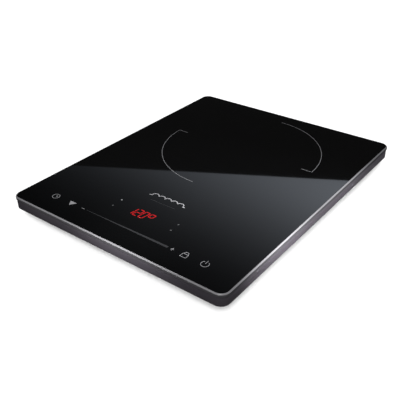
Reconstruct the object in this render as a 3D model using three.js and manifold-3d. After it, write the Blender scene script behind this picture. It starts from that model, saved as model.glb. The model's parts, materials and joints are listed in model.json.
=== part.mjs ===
import * as THREE from "three";
import { LoftGeometry } from "three/addons/geometries/LoftGeometry.js";
import { mergeVertices } from "three/addons/utils/BufferGeometryUtils.js";
import Module from "manifold-3d";

/*
 * An electric induction cooktop with one cooking zone, in millimetres, +Z up.
 * The origin is the middle of the outline, on the surface that the feet stand on.
 * The touch controls are along the short edge that faces -Y, and the cord inlet faces +Y.
 */

// ---- Fits and facets ----

const GAP = 0.3; // between a piece and the hole or pocket that it sits in
const RUNNING_GAP = 0.1; // between the fan's shaft and its bearing
const OVERSHOOT = 1; // how far a cutting tool runs past the face that it cuts
const MERGE_DISTANCE = 1e-4;
const CORNER_STEPS = 6; // facets in each rounded corner of the outline
const SIDES = { wire: 5, cable: 8, screw: 10, post: 12, round: 24, disc: 40 };
const QUARTER_TURN = Math.PI / 2;
const FULL_TURN = Math.PI * 2;

// ---- Driving dimensions of the housing ----

const GLASS = { width: 280, depth: 350, corner: 10, thickness: 4, bevel: 1.2, edge: 0.4 };
const SEAL = { inset: 1.4, corner: 9.7, width: 6, height: 0.7 };
const BAND = { inset: 0.5, corner: 10, wall: 1.6, height: 9.9, chamfer: 0.6, flange: 9, flangeHeight: 1.6 };
const FOOT = { height: 2.5, radius: 9, tip: 8, inset: 44, spigot: 2.5, spigotHeight: 3.2 };
const PAN = { height: 15.9, wall: 1.8, rim: 6.6, bottomInset: 17.2, bottomCorner: 16, edge: 1.2 };

const LEVEL = { pan: FOOT.height };
LEVEL.floor = LEVEL.pan + PAN.wall;
LEVEL.band = LEVEL.pan + PAN.height;
LEVEL.seal = LEVEL.band + BAND.height;
LEVEL.flange = LEVEL.seal - BAND.flangeHeight;
LEVEL.glass = LEVEL.seal + SEAL.height;

// The body is screwed together from below, at four corners.
const HOUSING_SCREW = { inset: 27, headRadius: 3.4, headHeight: 2.2, shank: 1.3, length: 16.5 };
const PAN_BOSS = { radius: 5.7, height: 9.7, hole: 2, recess: 3.9, recessDepth: 3 };
const BAND_POST = { radius: 3.6, holeDepth: 10.5, gusset: 27 };

// Cooling air comes in under the fan and leaves through the rear wall.
const EXHAUST = { first: -72, pitch: 7, count: 17, width: 3, bottom: 6.4, height: 8 };
const INTAKE = { radius: 36, pitch: 6, width: 3, rows: 11, rib: 3.4 };

// The mains cord's inlet stands in a pocket of the rear wall.
const INLET = { x: 78, y: 160, z: 10.9, width: 24, wall: 1.8, ceiling: 1.6, ceilingDrop: 0.4, boxDepth: 20 };
const GLAND = { bore: 3.6, barrel: 4.9, flange: 6.3, flangeHeight: 1.5 };

// ---- Driving dimensions of the coil ----

const COIL = { x: 0, y: 58, inner: 26, outer: 80, turns: 14, wire: 1.5, flareRadius: 87, flareTurn: 0.08 };
const COIL_STEP = 17; // length of one facet of the wound wire
const CARRIER = {
  radius: 84,
  height: 1.8,
  bottom: 22.7,
  hole: 6.2,
  windowInner: 26,
  windowOuter: 74,
  windowAngle: 0.62, // in radians
  windowSteps: 4,
};
const SUPPORT = { radius: 86, ear: 6, post: 4, hole: 1.9, count: 3 };
const FERRITE = { count: 6, length: 50, width: 11, height: 2.8, inner: 24 };
const MICA = { radius: 84, height: 0.5, hole: 7.5 };
const SENSOR = { radius: 5, lip: 4, flange: 8, flangeHeight: 1.2, height: 7.2 };
const LEAD = { radius: 1.4, landing: 4, lug: 0.6, outerSteps: 10, innerSteps: 16 };

// ---- Driving dimensions of the fan ----

const FAN = { x: -76, y: -64, size: 80, height: 15, corner: 4, bore: 38.5, holeReach: 35.75, hole: 2.1 };
const FAN_FLOOR = { height: 2, cup: 17, strut: 4 };
const FAN_PAD = { radius: 4, height: 1, hole: 1.8 };
const ROTOR = { hub: 18.5, wall: 1.5, bottom: 8.4, top: 19.4, shaft: 1.5, blades: 9 };
const BLADE = { root: 17.6, tip: 37.2, chord: 14, thickness: 1.1, camber: 0.9, middle: 13.6 };
const BLADE_PITCH = { root: 0.78, tip: 0.5 }; // in radians, steeper at the hub
const BLADE_STATIONS = [0, 0.35, 0.7, 1]; // shares of the reach from root to tip
const STATOR = { radius: 14.5, height: 9.2 };
const DUCT = { wall: 1.2, height: 8 };

// ---- Driving dimensions of the boards ----

const POWER = { x0: -26, x1: 92, y0: -146, y1: -40, bottom: 8, thickness: 1.6, hole: 1.9, inset: 5 };
const POWER_POST = { radius: 3, hole: 1.6 };
const CONTROL = { halfWidth: 107, y0: -158, y1: -106, bottom: 20.2, thickness: 1.6, hole: 1.9 };
const CONTROL_POST = { x: 99, yFront: -150, yBack: -112, radius: 3.5, hole: 1.6 };
const SMALL_SCREW = { headRadius: 2.8, headHeight: 1.7, shank: 1.3, length: 5.5 };
const POWER_SCREW = { ...SMALL_SCREW, length: 4.4 };
const FAN_SCREW = { ...SMALL_SCREW, length: FAN.height + FAN_PAD.height + PAN.wall / 2 - GAP };
const SCREW_CROWN = 0.7; // radius of the flat on a screw's head, as a share of the head's radius
const DRIVE_RECESS = { length: 0.62, width: 0.22, depth: 0.5 }; // of the head's diameter and height
const PART_SEAT = 0.3; // space between a board and the body of a component

const HEATSINK = {
  x: 15,
  y: -73,
  width: 70,
  length: 50,
  bottom: 14.9,
  base: 2,
  top: 21.2,
  fin: 1.2,
  fins: 12,
};
const IGBT = {
  x: 4,
  y: -78,
  width: 15.6,
  length: 20.8,
  height: 4.7,
  legs: 3,
  legPitch: 5.4,
  leg: 1.2,
  reach: 5,
};
const BRIDGE = {
  x: 32,
  y: -78,
  width: 26,
  length: 18,
  height: 4.5,
  legs: 4,
  legPitch: 6.5,
  leg: 1.1,
  reach: 5,
};
const CHOKE = { x: 72, y: -128, ring: 8.4, tube: 4.8 };
const FUSE = { x: 4, y: -139, z: 13.6, radius: 2.6, cap: 3.1, length: 22, capLength: 5 };
const FILTER_CAN = { x: 14, y: -117, radius: 5, height: 9.6, groove: 0.5 };
const BOX_CHAMFER = 0.8;
const BOXES = {
  dc_link_capacitor: { x: 72, y: -86, width: 30, depth: 15, height: 14 },
  resonant_capacitor: { x: 72, y: -64, width: 30, depth: 15, height: 14 },
  x2_capacitor: { x: 36, y: -136, width: 26, depth: 10, height: 9.8 },
};
const TRANSFORMER = { x: -12, y: -118, width: 20, depth: 17, height: 9.6, bobbin: 13, flange: 1.8 };
const TERMINAL = {
  x: 40,
  y: -115,
  width: 16,
  depth: 9,
  height: 9,
  poles: 2,
  polePitch: 7,
  mouth: 2.2,
  mouthDepth: 5,
};
const RIBBON = { x: 72, width: 16, thickness: 0.9, yTop: -109, yBottom: -100 };

const DISPLAY = { x: -1, y: -119.5, width: 44, depth: 14, height: 6.2, window: 9, windowDepth: 0.6 };
const LED = { radius: 1.5, height: 5.4, places: [[-37, -112], [-37, -125.4], [41, -113], [41, -125]] };
const SHIELD = { x: 2, y: -118.7, width: 96, depth: 24, height: 6.3, wall: 1 };
const BUZZER = { x: -72, y: -124, radius: 6, height: 5.8, port: 1.2, portDepth: 2 };
const TOUCH_FILM = { y: -148, width: 214, depth: 18, thickness: 0.3, tail: 20, tailDrop: 6, tailGap: 1 };

const wasm = await Module();
wasm.setup();

// ---- Helpers ----

/** A closed geometry as a solid that can be joined and cut. */
function solid(geometry) {
  const bare = new THREE.BufferGeometry().copy(geometry);
  bare.deleteAttribute("normal");
  bare.deleteAttribute("uv");
  const merged = mergeVertices(bare, MERGE_DISTANCE);
  return new wasm.Manifold(new wasm.Mesh({
    numProp: 3,
    vertProperties: merged.getAttribute("position").array,
    triVerts: new Uint32Array(merged.index.array),
  }));
}

/** A solid back as a geometry with flat faces. */
function geometryOf(body) {
  const mesh = body.getMesh();
  const shared = new THREE.BufferGeometry();
  shared.setAttribute("position", new THREE.BufferAttribute(mesh.vertProperties, mesh.numProp));
  shared.setIndex(new THREE.BufferAttribute(mesh.triVerts, 1));
  const faceted = shared.toNonIndexed();
  faceted.computeVertexNormals();
  return faceted;
}

/** The first geometry with the added ones joined to it and the cut ones taken away. */
function shaped(base, { add = [], cut = [] }) {
  let body = solid(base);
  for (const piece of add) body = body.add(solid(piece));
  for (const piece of cut) body = body.subtract(solid(piece));
  return geometryOf(body);
}

/** A box, from its size, the middle of its plan and its lowest height. */
function block([width, depth, height], [x, y], bottom) {
  return new THREE.BoxGeometry(width, depth, height).translate(x, y, bottom + height / 2);
}

/** An upright cylinder, from its radius, height, the middle of its plan and its lowest height. */
function rod(radius, height, [x, y], bottom, sides = SIDES.post) {
  return new THREE.CylinderGeometry(radius, radius, height, sides)
    .rotateX(QUARTER_TURN)
    .translate(x, y, bottom + height / 2);
}

/** A piece turned about the Z axis, from [radius, height] pairs that run anticlockwise. */
function turned(profile, sides) {
  const points = profile.map(([radius, height]) => new THREE.Vector2(radius, height));
  return new THREE.LatheGeometry(points, sides).rotateX(QUARTER_TURN);
}

/** An upright prism over a plan. */
function prism(plan, height, bottom, curveSegments = CORNER_STEPS) {
  return new THREE.ExtrudeGeometry(plan, { depth: height, bevelEnabled: false, curveSegments })
    .translate(0, 0, bottom);
}

/** A plan with straight edges through the given points. */
function polygon(points) {
  return new THREE.Shape(points.map(([x, y]) => new THREE.Vector2(x, y)));
}

/** The outline of the body at one height, anticlockwise from above. */
function outline(inset, corner, height) {
  const reachX = GLASS.width / 2 - inset - corner;
  const reachY = GLASS.depth / 2 - inset - corner;
  const points = [];
  for (const [quarter, [sideX, sideY]] of [[1, 1], [-1, 1], [-1, -1], [1, -1]].entries()) {
    for (let step = 0; step <= CORNER_STEPS; step += 1) {
      const angle = (quarter + step / CORNER_STEPS) * QUARTER_TURN;
      const x = sideX * reachX + corner * Math.cos(angle);
      const y = sideY * reachY + corner * Math.sin(angle);
      points.push(new THREE.Vector3(x, y, height));
    }
  }
  return points;
}

/** A solid through outlines given as [inset, corner radius, height], from the lowest up. */
function stacked(sections) {
  const outlines = sections.map(([inset, corner, height]) => outline(inset, corner, height));
  return new LoftGeometry(outlines, { capStart: true, capEnd: true });
}

/** The four corners of a rectangle round the origin. */
function corners(x, y) {
  return [[-x, -y], [x, -y], [x, y], [-x, y]];
}

/** The four places that lie at one inset from the glass plate's edges. */
function cornerPlaces(inset) {
  return corners(GLASS.width / 2 - inset, GLASS.depth / 2 - inset);
}

/** Places spread evenly round a circle. */
function circlePlaces([x, y], radius, count, firstAngle) {
  return Array.from({ length: count }, (_, index) => {
    const angle = firstAngle + index * FULL_TURN / count;
    return [x + radius * Math.cos(angle), y + radius * Math.sin(angle)];
  });
}

/** A round section, with straight sides, for a bar that follows a path. */
function roundSection(radius, sides) {
  return polygon(circlePlaces([0, 0], radius, sides, 0));
}

/** A round bar along a smooth path through points. */
function cable(points, radius, steps) {
  const path = new THREE.CatmullRomCurve3(points.map((point) => new THREE.Vector3(...point)));
  return new THREE.ExtrudeGeometry(roundSection(radius, SIDES.cable), { steps, extrudePath: path });
}

/** A cross-head screw that points down, with the underside of its head at height 0. */
function screw({ headRadius, headHeight, shank, length }) {
  const rim = headHeight / 2;
  const body = turned(
    [[0, -length], [shank, -length], [shank, 0], [headRadius, 0], [headRadius, rim],
      [headRadius * SCREW_CROWN, headHeight], [0, headHeight]],
    SIDES.screw,
  );
  const long = headRadius * 2 * DRIVE_RECESS.length;
  const narrow = headRadius * 2 * DRIVE_RECESS.width;
  const depth = headHeight * DRIVE_RECESS.depth;
  const bottom = headHeight - depth;
  return shaped(body, {
    cut: [
      block([long, narrow, depth + OVERSHOOT], [0, 0], bottom),
      block([narrow, long, depth + OVERSHOOT], [0, 0], bottom),
    ],
  });
}

// ---- Housing ----

/** The ceramic glass plate, with a ground bevel round its top edge. */
function glassPlate() {
  const top = LEVEL.glass + GLASS.thickness;
  return stacked([
    [GLASS.edge, GLASS.corner - GLASS.edge, LEVEL.glass],
    [0, GLASS.corner, LEVEL.glass + GLASS.edge],
    [0, GLASS.corner, top - GLASS.bevel],
    [GLASS.bevel, GLASS.corner - GLASS.bevel, top],
  ]);
}

/** The silicone bead that the glass plate is bedded on. */
function glassSeal() {
  const top = LEVEL.seal + SEAL.height;
  const inset = SEAL.inset + SEAL.width;
  const corner = SEAL.corner - SEAL.width;
  return shaped(
    stacked([[SEAL.inset, SEAL.corner, LEVEL.seal], [SEAL.inset, SEAL.corner, top]]),
    { cut: [stacked([[inset, corner, LEVEL.seal - OVERSHOOT], [inset, corner, top + OVERSHOOT]])] },
  );
}

/** The metal frame round the body: a thin wall, a flange under the glass and four screw posts. */
function frameBand() {
  const { inset, corner, wall, chamfer } = BAND;
  const outside = stacked([
    [inset + chamfer, corner - chamfer, LEVEL.band],
    [inset, corner, LEVEL.band + chamfer],
    [inset, corner, LEVEL.seal - GLASS.edge],
    [inset + GLASS.edge, corner - GLASS.edge, LEVEL.seal],
  ]);
  const inside = stacked([
    [inset + wall, corner - wall, LEVEL.band - OVERSHOOT],
    [inset + wall, corner - wall, LEVEL.flange],
  ]);
  const openingInset = inset + wall + BAND.flange;
  const openingCorner = corner - wall;
  const opening = stacked([
    [openingInset, openingCorner, LEVEL.flange - OVERSHOOT],
    [openingInset, openingCorner, LEVEL.seal + OVERSHOOT],
  ]);
  const hollow = shaped(outside, { cut: [inside, opening] });
  const postBottom = LEVEL.floor + PAN_BOSS.height + GAP;
  const postHeight = LEVEL.seal - postBottom;
  const places = cornerPlaces(HOUSING_SCREW.inset);
  const gussetSize = [BAND_POST.gusset, BAND_POST.gusset, BAND.flangeHeight];
  const gussetInset = inset + wall * 2 + BAND_POST.gusset / 2;
  return shaped(hollow, {
    add: [
      ...cornerPlaces(gussetInset).map((place) => block(gussetSize, place, LEVEL.flange)),
      ...places.map((place) => rod(BAND_POST.radius, postHeight, place, postBottom)),
    ],
    cut: places.map((place) => rod(
      HOUSING_SCREW.shank + GAP,
      BAND_POST.holeDepth + OVERSHOOT,
      place,
      postBottom - OVERSHOOT,
    )),
  });
}

/** The outside or the cavity of the base pan, as tapered outlines. */
function panEnvelope(inward, lowest, highest) {
  const rimInset = BAND.inset + BAND.wall + GAP + inward;
  const rimCorner = BAND.corner - BAND.wall - GAP - inward;
  const rimHeight = LEVEL.band - GAP + inward / 2;
  const bottomInset = PAN.bottomInset + inward / 2;
  const bottomCorner = PAN.bottomCorner - inward;
  return stacked([
    [bottomInset, bottomCorner, lowest],
    [bottomInset - PAN.edge, bottomCorner + PAN.edge, lowest + PAN.edge],
    [rimInset, rimCorner, rimHeight],
    [rimInset, rimCorner, highest],
  ]);
}

/** The slots in the floor that the fan draws air through. */
function intakeSlots() {
  const slots = [];
  for (let row = 0; row < INTAKE.rows; row += 1) {
    const offset = (row - (INTAKE.rows - 1) / 2) * INTAKE.pitch;
    const half = Math.sqrt(INTAKE.radius ** 2 - offset ** 2);
    const length = half - INTAKE.rib / 2;
    for (const side of [-1, 1]) {
      const x = FAN.x + side * (INTAKE.rib / 2 + length / 2);
      const height = PAN.wall + OVERSHOOT * 2;
      slots.push(block([length, INTAKE.width, height], [x, FAN.y + offset], LEVEL.pan - OVERSHOOT));
    }
  }
  return slots;
}

/** The slots in the rear wall that the warm air leaves through. */
function exhaustSlots() {
  const back = GLASS.depth / 2;
  const reach = PAN.bottomInset + PAN.wall * 2;
  return Array.from({ length: EXHAUST.count }, (_, index) => block(
    [EXHAUST.width, reach, EXHAUST.height],
    [EXHAUST.first + index * EXHAUST.pitch, back - reach / 2],
    EXHAUST.bottom,
  ));
}

/** The pocket for the cord inlet: the pieces that build its walls and the ones that open it. */
function inletPocket() {
  const back = GLASS.depth / 2;
  const outerWidth = INLET.width + INLET.wall * 2;
  const wallFront = INLET.y - INLET.wall;
  const ceiling = LEVEL.band - INLET.ceilingDrop;
  const blockTop = ceiling + INLET.ceiling;
  const outward = back - INLET.y;
  const built = solid(block(
    [outerWidth, INLET.boxDepth, blockTop - LEVEL.pan],
    [INLET.x, back - INLET.boxDepth / 2],
    LEVEL.pan,
  )).intersect(solid(panEnvelope(0, LEVEL.pan, LEVEL.band + PAN.rim)));
  const notch = block(
    [INLET.width, outward, ceiling - LEVEL.pan + OVERSHOOT],
    [INLET.x, INLET.y + outward / 2],
    LEVEL.pan - OVERSHOOT,
  );
  const room = block(
    [INLET.width, INLET.boxDepth, blockTop - LEVEL.floor + OVERSHOOT],
    [INLET.x, wallFront - INLET.boxDepth / 2],
    LEVEL.floor,
  );
  const hole = new THREE.CylinderGeometry(
    GLAND.barrel + GAP, GLAND.barrel + GAP, INLET.wall + OVERSHOOT * 2, SIDES.round,
  ).translate(INLET.x, INLET.y - INLET.wall / 2, INLET.z);
  return { add: [geometryOf(built)], cut: [notch, room, hole] };
}

/** The base pan: tapered walls, air slots, the inlet's pocket and all the posts that it carries. */
function basePan() {
  const top = LEVEL.band + PAN.rim;
  const cavity = panEnvelope(PAN.wall, LEVEL.floor, top + OVERSHOOT);
  const shell = shaped(panEnvelope(0, LEVEL.pan, top), { cut: [cavity] });
  const pocket = inletPocket();
  const screwPlaces = cornerPlaces(HOUSING_SCREW.inset);
  const fanPlaces = corners(FAN.holeReach, FAN.holeReach).map(([x, y]) => [FAN.x + x, FAN.y + y]);
  const posts = [
    { places: screwPlaces, top: LEVEL.floor + PAN_BOSS.height, radius: PAN_BOSS.radius },
    { places: fanPlaces, top: LEVEL.floor + FAN_PAD.height, radius: FAN_PAD.radius, hole: FAN_PAD.hole },
    { places: supportPlaces(), top: CARRIER.bottom, radius: SUPPORT.post, hole: SUPPORT.hole },
    { places: powerPlaces(), top: POWER.bottom, radius: POWER_POST.radius, hole: POWER_POST.hole },
    { places: controlPlaces(), top: CONTROL.bottom, radius: CONTROL_POST.radius, hole: CONTROL_POST.hole },
  ];
  const root = LEVEL.floor - PAN.wall / 2; // where a post starts in the floor, and where its hole ends
  const columns = posts.flatMap(({ places, top: end, radius }) => places.map(
    (place) => rod(radius, end - root, place, root),
  ));
  const drilled = posts.filter(({ hole }) => hole).flatMap(({ places, top: end, hole }) => places.map(
    (place) => rod(hole, end - root + OVERSHOOT, place, root, SIDES.screw),
  ));
  const through = PAN.wall + PAN_BOSS.height + OVERSHOOT * 2;
  return shaped(shell, {
    add: [...pocket.add, ...columns],
    cut: [
      ...pocket.cut,
      ...drilled,
      ...intakeSlots(),
      ...exhaustSlots(),
      ...screwPlaces.map((place) => rod(PAN_BOSS.hole, through, place, LEVEL.pan - OVERSHOOT)),
      ...screwPlaces.map((place) => rod(
        PAN_BOSS.recess, PAN_BOSS.recessDepth + OVERSHOOT, place, LEVEL.pan - OVERSHOOT,
      )),
      ...cornerPlaces(FOOT.inset).map((place) => rod(
        FOOT.spigot + GAP, PAN.wall + OVERSHOOT * 2, place, LEVEL.pan - OVERSHOOT,
      )),
    ],
  });
}

/** A rubber foot: a round pad with a spigot that is pressed into the pan. */
function foot() {
  const { height, radius, tip, spigot, spigotHeight } = FOOT;
  const head = height + spigotHeight;
  return turned(
    [[0, 0], [tip, 0], [radius, radius - tip], [radius, height], [spigot, height],
      [spigot, head - OVERSHOOT / 2], [spigot - OVERSHOOT / 2, head], [0, head]],
    SIDES.round,
  );
}

/** The cord inlet's bush: a flanged sleeve whose bore lies along Y. */
function cableGland() {
  const { bore, barrel, flange, flangeHeight } = GLAND;
  const inner = INLET.wall / 2 + GAP;
  const outer = inner + flangeHeight;
  return turned(
    [[bore, -outer], [flange, -outer], [flange, -inner], [barrel, -inner],
      [barrel, inner], [flange, inner], [flange, outer], [bore, outer], [bore, -outer]],
    SIDES.round,
  ).rotateX(QUARTER_TURN);
}

// ---- Coil ----

/** The places of the three posts that carry the coil. */
function supportPlaces() {
  return circlePlaces([COIL.x, COIL.y], SUPPORT.radius, SUPPORT.count, QUARTER_TURN);
}

/** A flat spiral of wire round the coil's axis, with its outer end led off past the carrier. */
class WindingPath extends THREE.Curve {
  getPoint(share, target = new THREE.Vector3()) {
    const turn = share * COIL.turns;
    const spiralTurns = COIL.turns - COIL.flareTurn;
    const wound = (COIL.outer - COIL.inner) * Math.min(turn / spiralTurns, 1);
    const flared = (COIL.flareRadius - COIL.outer) * Math.max(turn - spiralTurns, 0) / COIL.flareTurn;
    const radius = COIL.inner + wound + flared;
    const angle = -QUARTER_TURN - turn * FULL_TURN;
    return target.set(radius * Math.cos(angle), radius * Math.sin(angle), 0);
  }
}

/** The winding of litz wire, as one bar along the spiral. */
function coilWinding() {
  const path = new WindingPath();
  path.arcLengthDivisions = COIL.turns * SIDES.disc;
  const steps = Math.round(path.getLength() / COIL_STEP);
  return new THREE.ExtrudeGeometry(roundSection(COIL.wire, SIDES.wire), { steps, extrudePath: path });
}

/** The moulded carrier under the winding: a disc with windows, a centre hole and three ears. */
function coilCarrier() {
  const through = CARRIER.height + OVERSHOOT * 2;
  const ears = circlePlaces([0, 0], SUPPORT.radius, SUPPORT.count, QUARTER_TURN);
  const windows = Array.from({ length: FERRITE.count }, (_, index) => {
    const middle = (index + 0.5) * FULL_TURN / FERRITE.count;
    const start = middle - CARRIER.windowAngle / 2;
    const end = middle + CARRIER.windowAngle / 2;
    const window = new THREE.Shape();
    window.absarc(0, 0, CARRIER.windowOuter, start, end);
    window.absarc(0, 0, CARRIER.windowInner, end, start, true);
    return prism(window, through, -OVERSHOOT, CARRIER.windowSteps);
  });
  return shaped(rod(CARRIER.radius, CARRIER.height, [0, 0], 0, SIDES.disc), {
    add: ears.map((place) => rod(SUPPORT.ear, CARRIER.height, place, 0)),
    cut: [
      ...windows,
      rod(CARRIER.hole, through, [0, 0], -OVERSHOOT),
      ...ears.map((place) => rod(SUPPORT.hole, through, place, -OVERSHOOT)),
    ],
  });
}

/** One ferrite bar, lying along X. */
function ferriteBar() {
  const { length, width, height, inner } = FERRITE;
  return block([length, width, height], [inner + length / 2, 0], 0);
}

/** The mica sheet that keeps the winding off the glass. */
function micaSheet() {
  return turned(
    [[MICA.hole, 0], [MICA.radius, 0], [MICA.radius, MICA.height], [MICA.hole, MICA.height], [MICA.hole, 0]],
    SIDES.disc,
  );
}

/** The temperature sensor's holder, which presses the bead against the glass. */
function coilSensor() {
  const { radius, lip, flange, flangeHeight, height } = SENSOR;
  return turned(
    [[0, 0], [flange, 0], [flange, flangeHeight], [radius, flangeHeight],
      [radius, height - flangeHeight / 2], [lip, height], [0, height]],
    SIDES.round,
  );
}

/** The end of a lead, as the two lowest points of its path, standing on the power board. */
function leadEnd(x) {
  const y = POWER.y1 - LEAD.landing;
  const tip = POWER.bottom + POWER.thickness + LEAD.lug;
  return [[x, y, tip + LEAD.landing * 2], [x, y, tip]];
}

/** The lead from the winding's outer end, down to the power board. */
function outerLead() {
  const start = COIL.y - COIL.flareRadius;
  const high = windingMiddle() - COIL.wire - LEAD.radius - GAP;
  return cable(
    [[COIL.x, start, high], [COIL.x + LEAD.landing, start - LEAD.landing, high - LEAD.landing],
      ...leadEnd(COIL.x + LEAD.landing * 2)],
    LEAD.radius,
    LEAD.outerSteps,
  );
}

/** The lead from the winding's inner end, through a window of the carrier and under it. */
function innerLead() {
  const start = COIL.y - COIL.inner - LEAD.landing;
  const run = CARRIER.bottom - LEAD.radius * 2 - GAP * 2;
  return cable(
    [[COIL.x, start, CARRIER.bottom], [COIL.x, start - LEAD.landing, run],
      [COIL.x + LEAD.landing, start - FERRITE.length / 2, run],
      ...leadEnd(COIL.x + LEAD.landing * 5)],
    LEAD.radius,
    LEAD.innerSteps,
  );
}

/** The height of the middle of the wound wire. */
function windingMiddle() {
  return CARRIER.bottom + CARRIER.height + COIL.wire;
}

// ---- Fan ----

/** The fan's square frame, with the struts and the cup that carry its motor. */
function fanHousing() {
  const half = FAN.size / 2;
  const plan = new THREE.Shape();
  for (const [quarter, [x, y]] of corners(half - FAN.corner, half - FAN.corner).entries()) {
    const start = (quarter + 2) * QUARTER_TURN;
    plan.absarc(x, y, FAN.corner, start, start + QUARTER_TURN);
  }
  const frame = prism(plan, FAN.height, 0);
  const through = FAN.height + OVERSHOOT * 2;
  const ring = shaped(frame, {
    cut: [
      rod(FAN.bore, through, [0, 0], -OVERSHOOT, SIDES.disc),
      ...corners(FAN.holeReach, FAN.holeReach).map((place) => rod(FAN.hole, through, place, -OVERSHOOT)),
    ],
  });
  const span = FAN.bore * 2 + OVERSHOOT;
  return shaped(ring, {
    add: [
      block([span, FAN_FLOOR.strut, FAN_FLOOR.height], [0, 0], 0),
      block([FAN_FLOOR.strut, span, FAN_FLOOR.height], [0, 0], 0),
      rod(FAN_FLOOR.cup, FAN_FLOOR.height, [0, 0], 0, SIDES.round),
    ],
  });
}

/** One fan blade, reaching out along X, cambered and less steep towards its tip. */
function fanBlade() {
  const sections = BLADE_STATIONS.map((share) => {
    const radius = THREE.MathUtils.lerp(BLADE.root, BLADE.tip, share);
    const pitch = THREE.MathUtils.lerp(BLADE_PITCH.root, BLADE_PITCH.tip, share);
    const half = BLADE.chord / 2;
    const thick = BLADE.thickness / 2;
    const rim = [[-half, -thick], [0, BLADE.camber - thick], [half, -thick],
      [half, thick], [0, BLADE.camber + thick], [-half, thick]];
    return rim.map(([along, across]) => new THREE.Vector3(
      radius,
      along * Math.cos(pitch) - across * Math.sin(pitch),
      along * Math.sin(pitch) + across * Math.cos(pitch) + BLADE.middle,
    ));
  });
  return new LoftGeometry(sections, { capStart: true, capEnd: true });
}

/** The fan's rotor: a cup with a shaft inside it and blades round it. */
function fanRotor() {
  const { hub, wall, bottom, top, shaft, blades } = ROTOR;
  const ceiling = top - wall;
  const cup = turned(
    [[0, bottom], [shaft, bottom], [shaft, ceiling], [hub - wall, ceiling], [hub - wall, bottom],
      [hub, bottom], [hub, top - wall / 2], [hub - wall / 2, top], [0, top]],
    SIDES.round,
  );
  const turns = Array.from({ length: blades }, (_, index) => index * FULL_TURN / blades);
  return shaped(cup, { add: turns.map((turn) => fanBlade().rotateZ(turn)) });
}

/** The fan motor's stator, which stands in the frame's cup and carries the shaft's bearing. */
function fanStator() {
  const bore = ROTOR.shaft + RUNNING_GAP;
  return turned(
    [[bore, 0], [STATOR.radius, 0], [STATOR.radius, STATOR.height], [bore, STATOR.height], [bore, 0]],
    SIDES.round,
  );
}

/** The air guide: a wall round three sides of the fan, open towards the heatsink. */
function airDuct() {
  const half = FAN.size / 2;
  const inner = half - DUCT.wall;
  return prism(
    polygon([[half, -half], [half, -inner], [-inner, -inner], [-inner, inner],
      [half, inner], [half, half], [-half, half], [-half, -half]].reverse()),
    DUCT.height,
    0,
  );
}

// ---- Power board ----

/** The places of the power board's four fixing holes. */
function powerPlaces() {
  const left = POWER.x0 + POWER.inset;
  const right = POWER.x1 - POWER.inset;
  const front = POWER.y0 + POWER.inset;
  const back = POWER.y1 - POWER.inset;
  return [[left, front], [right, front], [right, back], [left, back]];
}

/** A rectangular circuit board with round holes. */
function board({ x0, x1, y0, y1, thickness, hole }, places) {
  return shaped(block([x1 - x0, y1 - y0, thickness], [(x0 + x1) / 2, (y0 + y1) / 2], 0), {
    cut: places.map((place) => rod(hole, thickness + OVERSHOOT * 2, place, -OVERSHOOT)),
  });
}

/** The heatsink: a base on two feet, with fins on top, extruded along Y. */
function heatsink() {
  const { width, length, bottom, base, top, fin, fins } = HEATSINK;
  const half = width / 2;
  const footBottom = POWER.bottom + POWER.thickness;
  const shelf = bottom + base;
  const pitch = (width - fin) / (fins - 1);
  const points = [[-half, footBottom], [-half + base, footBottom], [-half + base, bottom],
    [half - base, bottom], [half - base, footBottom], [half, footBottom]];
  for (let index = fins - 1; index >= 0; index -= 1) {
    const left = -half + index * pitch;
    if (index < fins - 1) points.push([left + fin, shelf]);
    points.push([left + fin, top], [left, top]);
    if (index > 0) points.push([left, shelf]);
  }
  return prism(polygon(points), length, -length / 2).rotateX(QUARTER_TURN);
}

/** A flat power package with a row of legs that bend down to the board. */
function powerPackage({ width, length, height, legs, legPitch, leg, reach }) {
  const body = block([width, length, height], [0, 0], PART_SEAT);
  const middle = height / 2;
  const legPieces = [];
  for (let index = 0; index < legs; index += 1) {
    const x = (index - (legs - 1) / 2) * legPitch;
    const tip = -length / 2 - reach;
    legPieces.push(block([leg, reach + OVERSHOOT, leg], [x, tip + (reach + OVERSHOOT) / 2], middle));
    legPieces.push(block([leg, leg, middle + leg], [x, tip + leg / 2], 0));
  }
  return shaped(body, { add: legPieces });
}

/** A film capacitor in a moulded box with chamfered upper edges. */
function boxCapacitor({ width, depth, height }) {
  const half = depth / 2;
  const shoulder = height - BOX_CHAMFER;
  const ridge = half - BOX_CHAMFER;
  const plan = polygon([[-half, 0], [half, 0], [half, shoulder], [ridge, height],
    [-ridge, height], [-half, shoulder]]);
  return prism(plan, width, -width / 2).rotateX(QUARTER_TURN).rotateZ(QUARTER_TURN);
}

/** The input choke: a ring core with its winding, lying flat. */
function choke() {
  const profile = [];
  for (let step = 0; step <= SIDES.screw; step += 1) {
    const angle = step / SIDES.screw * FULL_TURN;
    profile.push([CHOKE.ring + CHOKE.tube * Math.cos(angle), CHOKE.tube * (1 + Math.sin(angle))]);
  }
  return turned(profile, SIDES.round);
}

/** The ceramic fuse, with a metal cap at each end, lying along X. */
function fuse() {
  const { radius, cap, length, capLength } = FUSE;
  const end = length / 2;
  const shoulder = end - capLength;
  return turned(
    [[0, -end], [cap, -end], [cap, -shoulder], [radius, -shoulder],
      [radius, shoulder], [cap, shoulder], [cap, end], [0, end]],
    SIDES.post,
  ).rotateY(QUARTER_TURN);
}

/** The smoothing capacitor: a can with a crimped groove near its foot. */
function filterCan() {
  const { radius, height, groove } = FILTER_CAN;
  return turned(
    [[0, 0], [radius, 0], [radius, groove * 2], [radius - groove, groove * 3],
      [radius, groove * 4], [radius, height - groove], [radius - groove, height], [0, height]],
    SIDES.round,
  );
}

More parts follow.
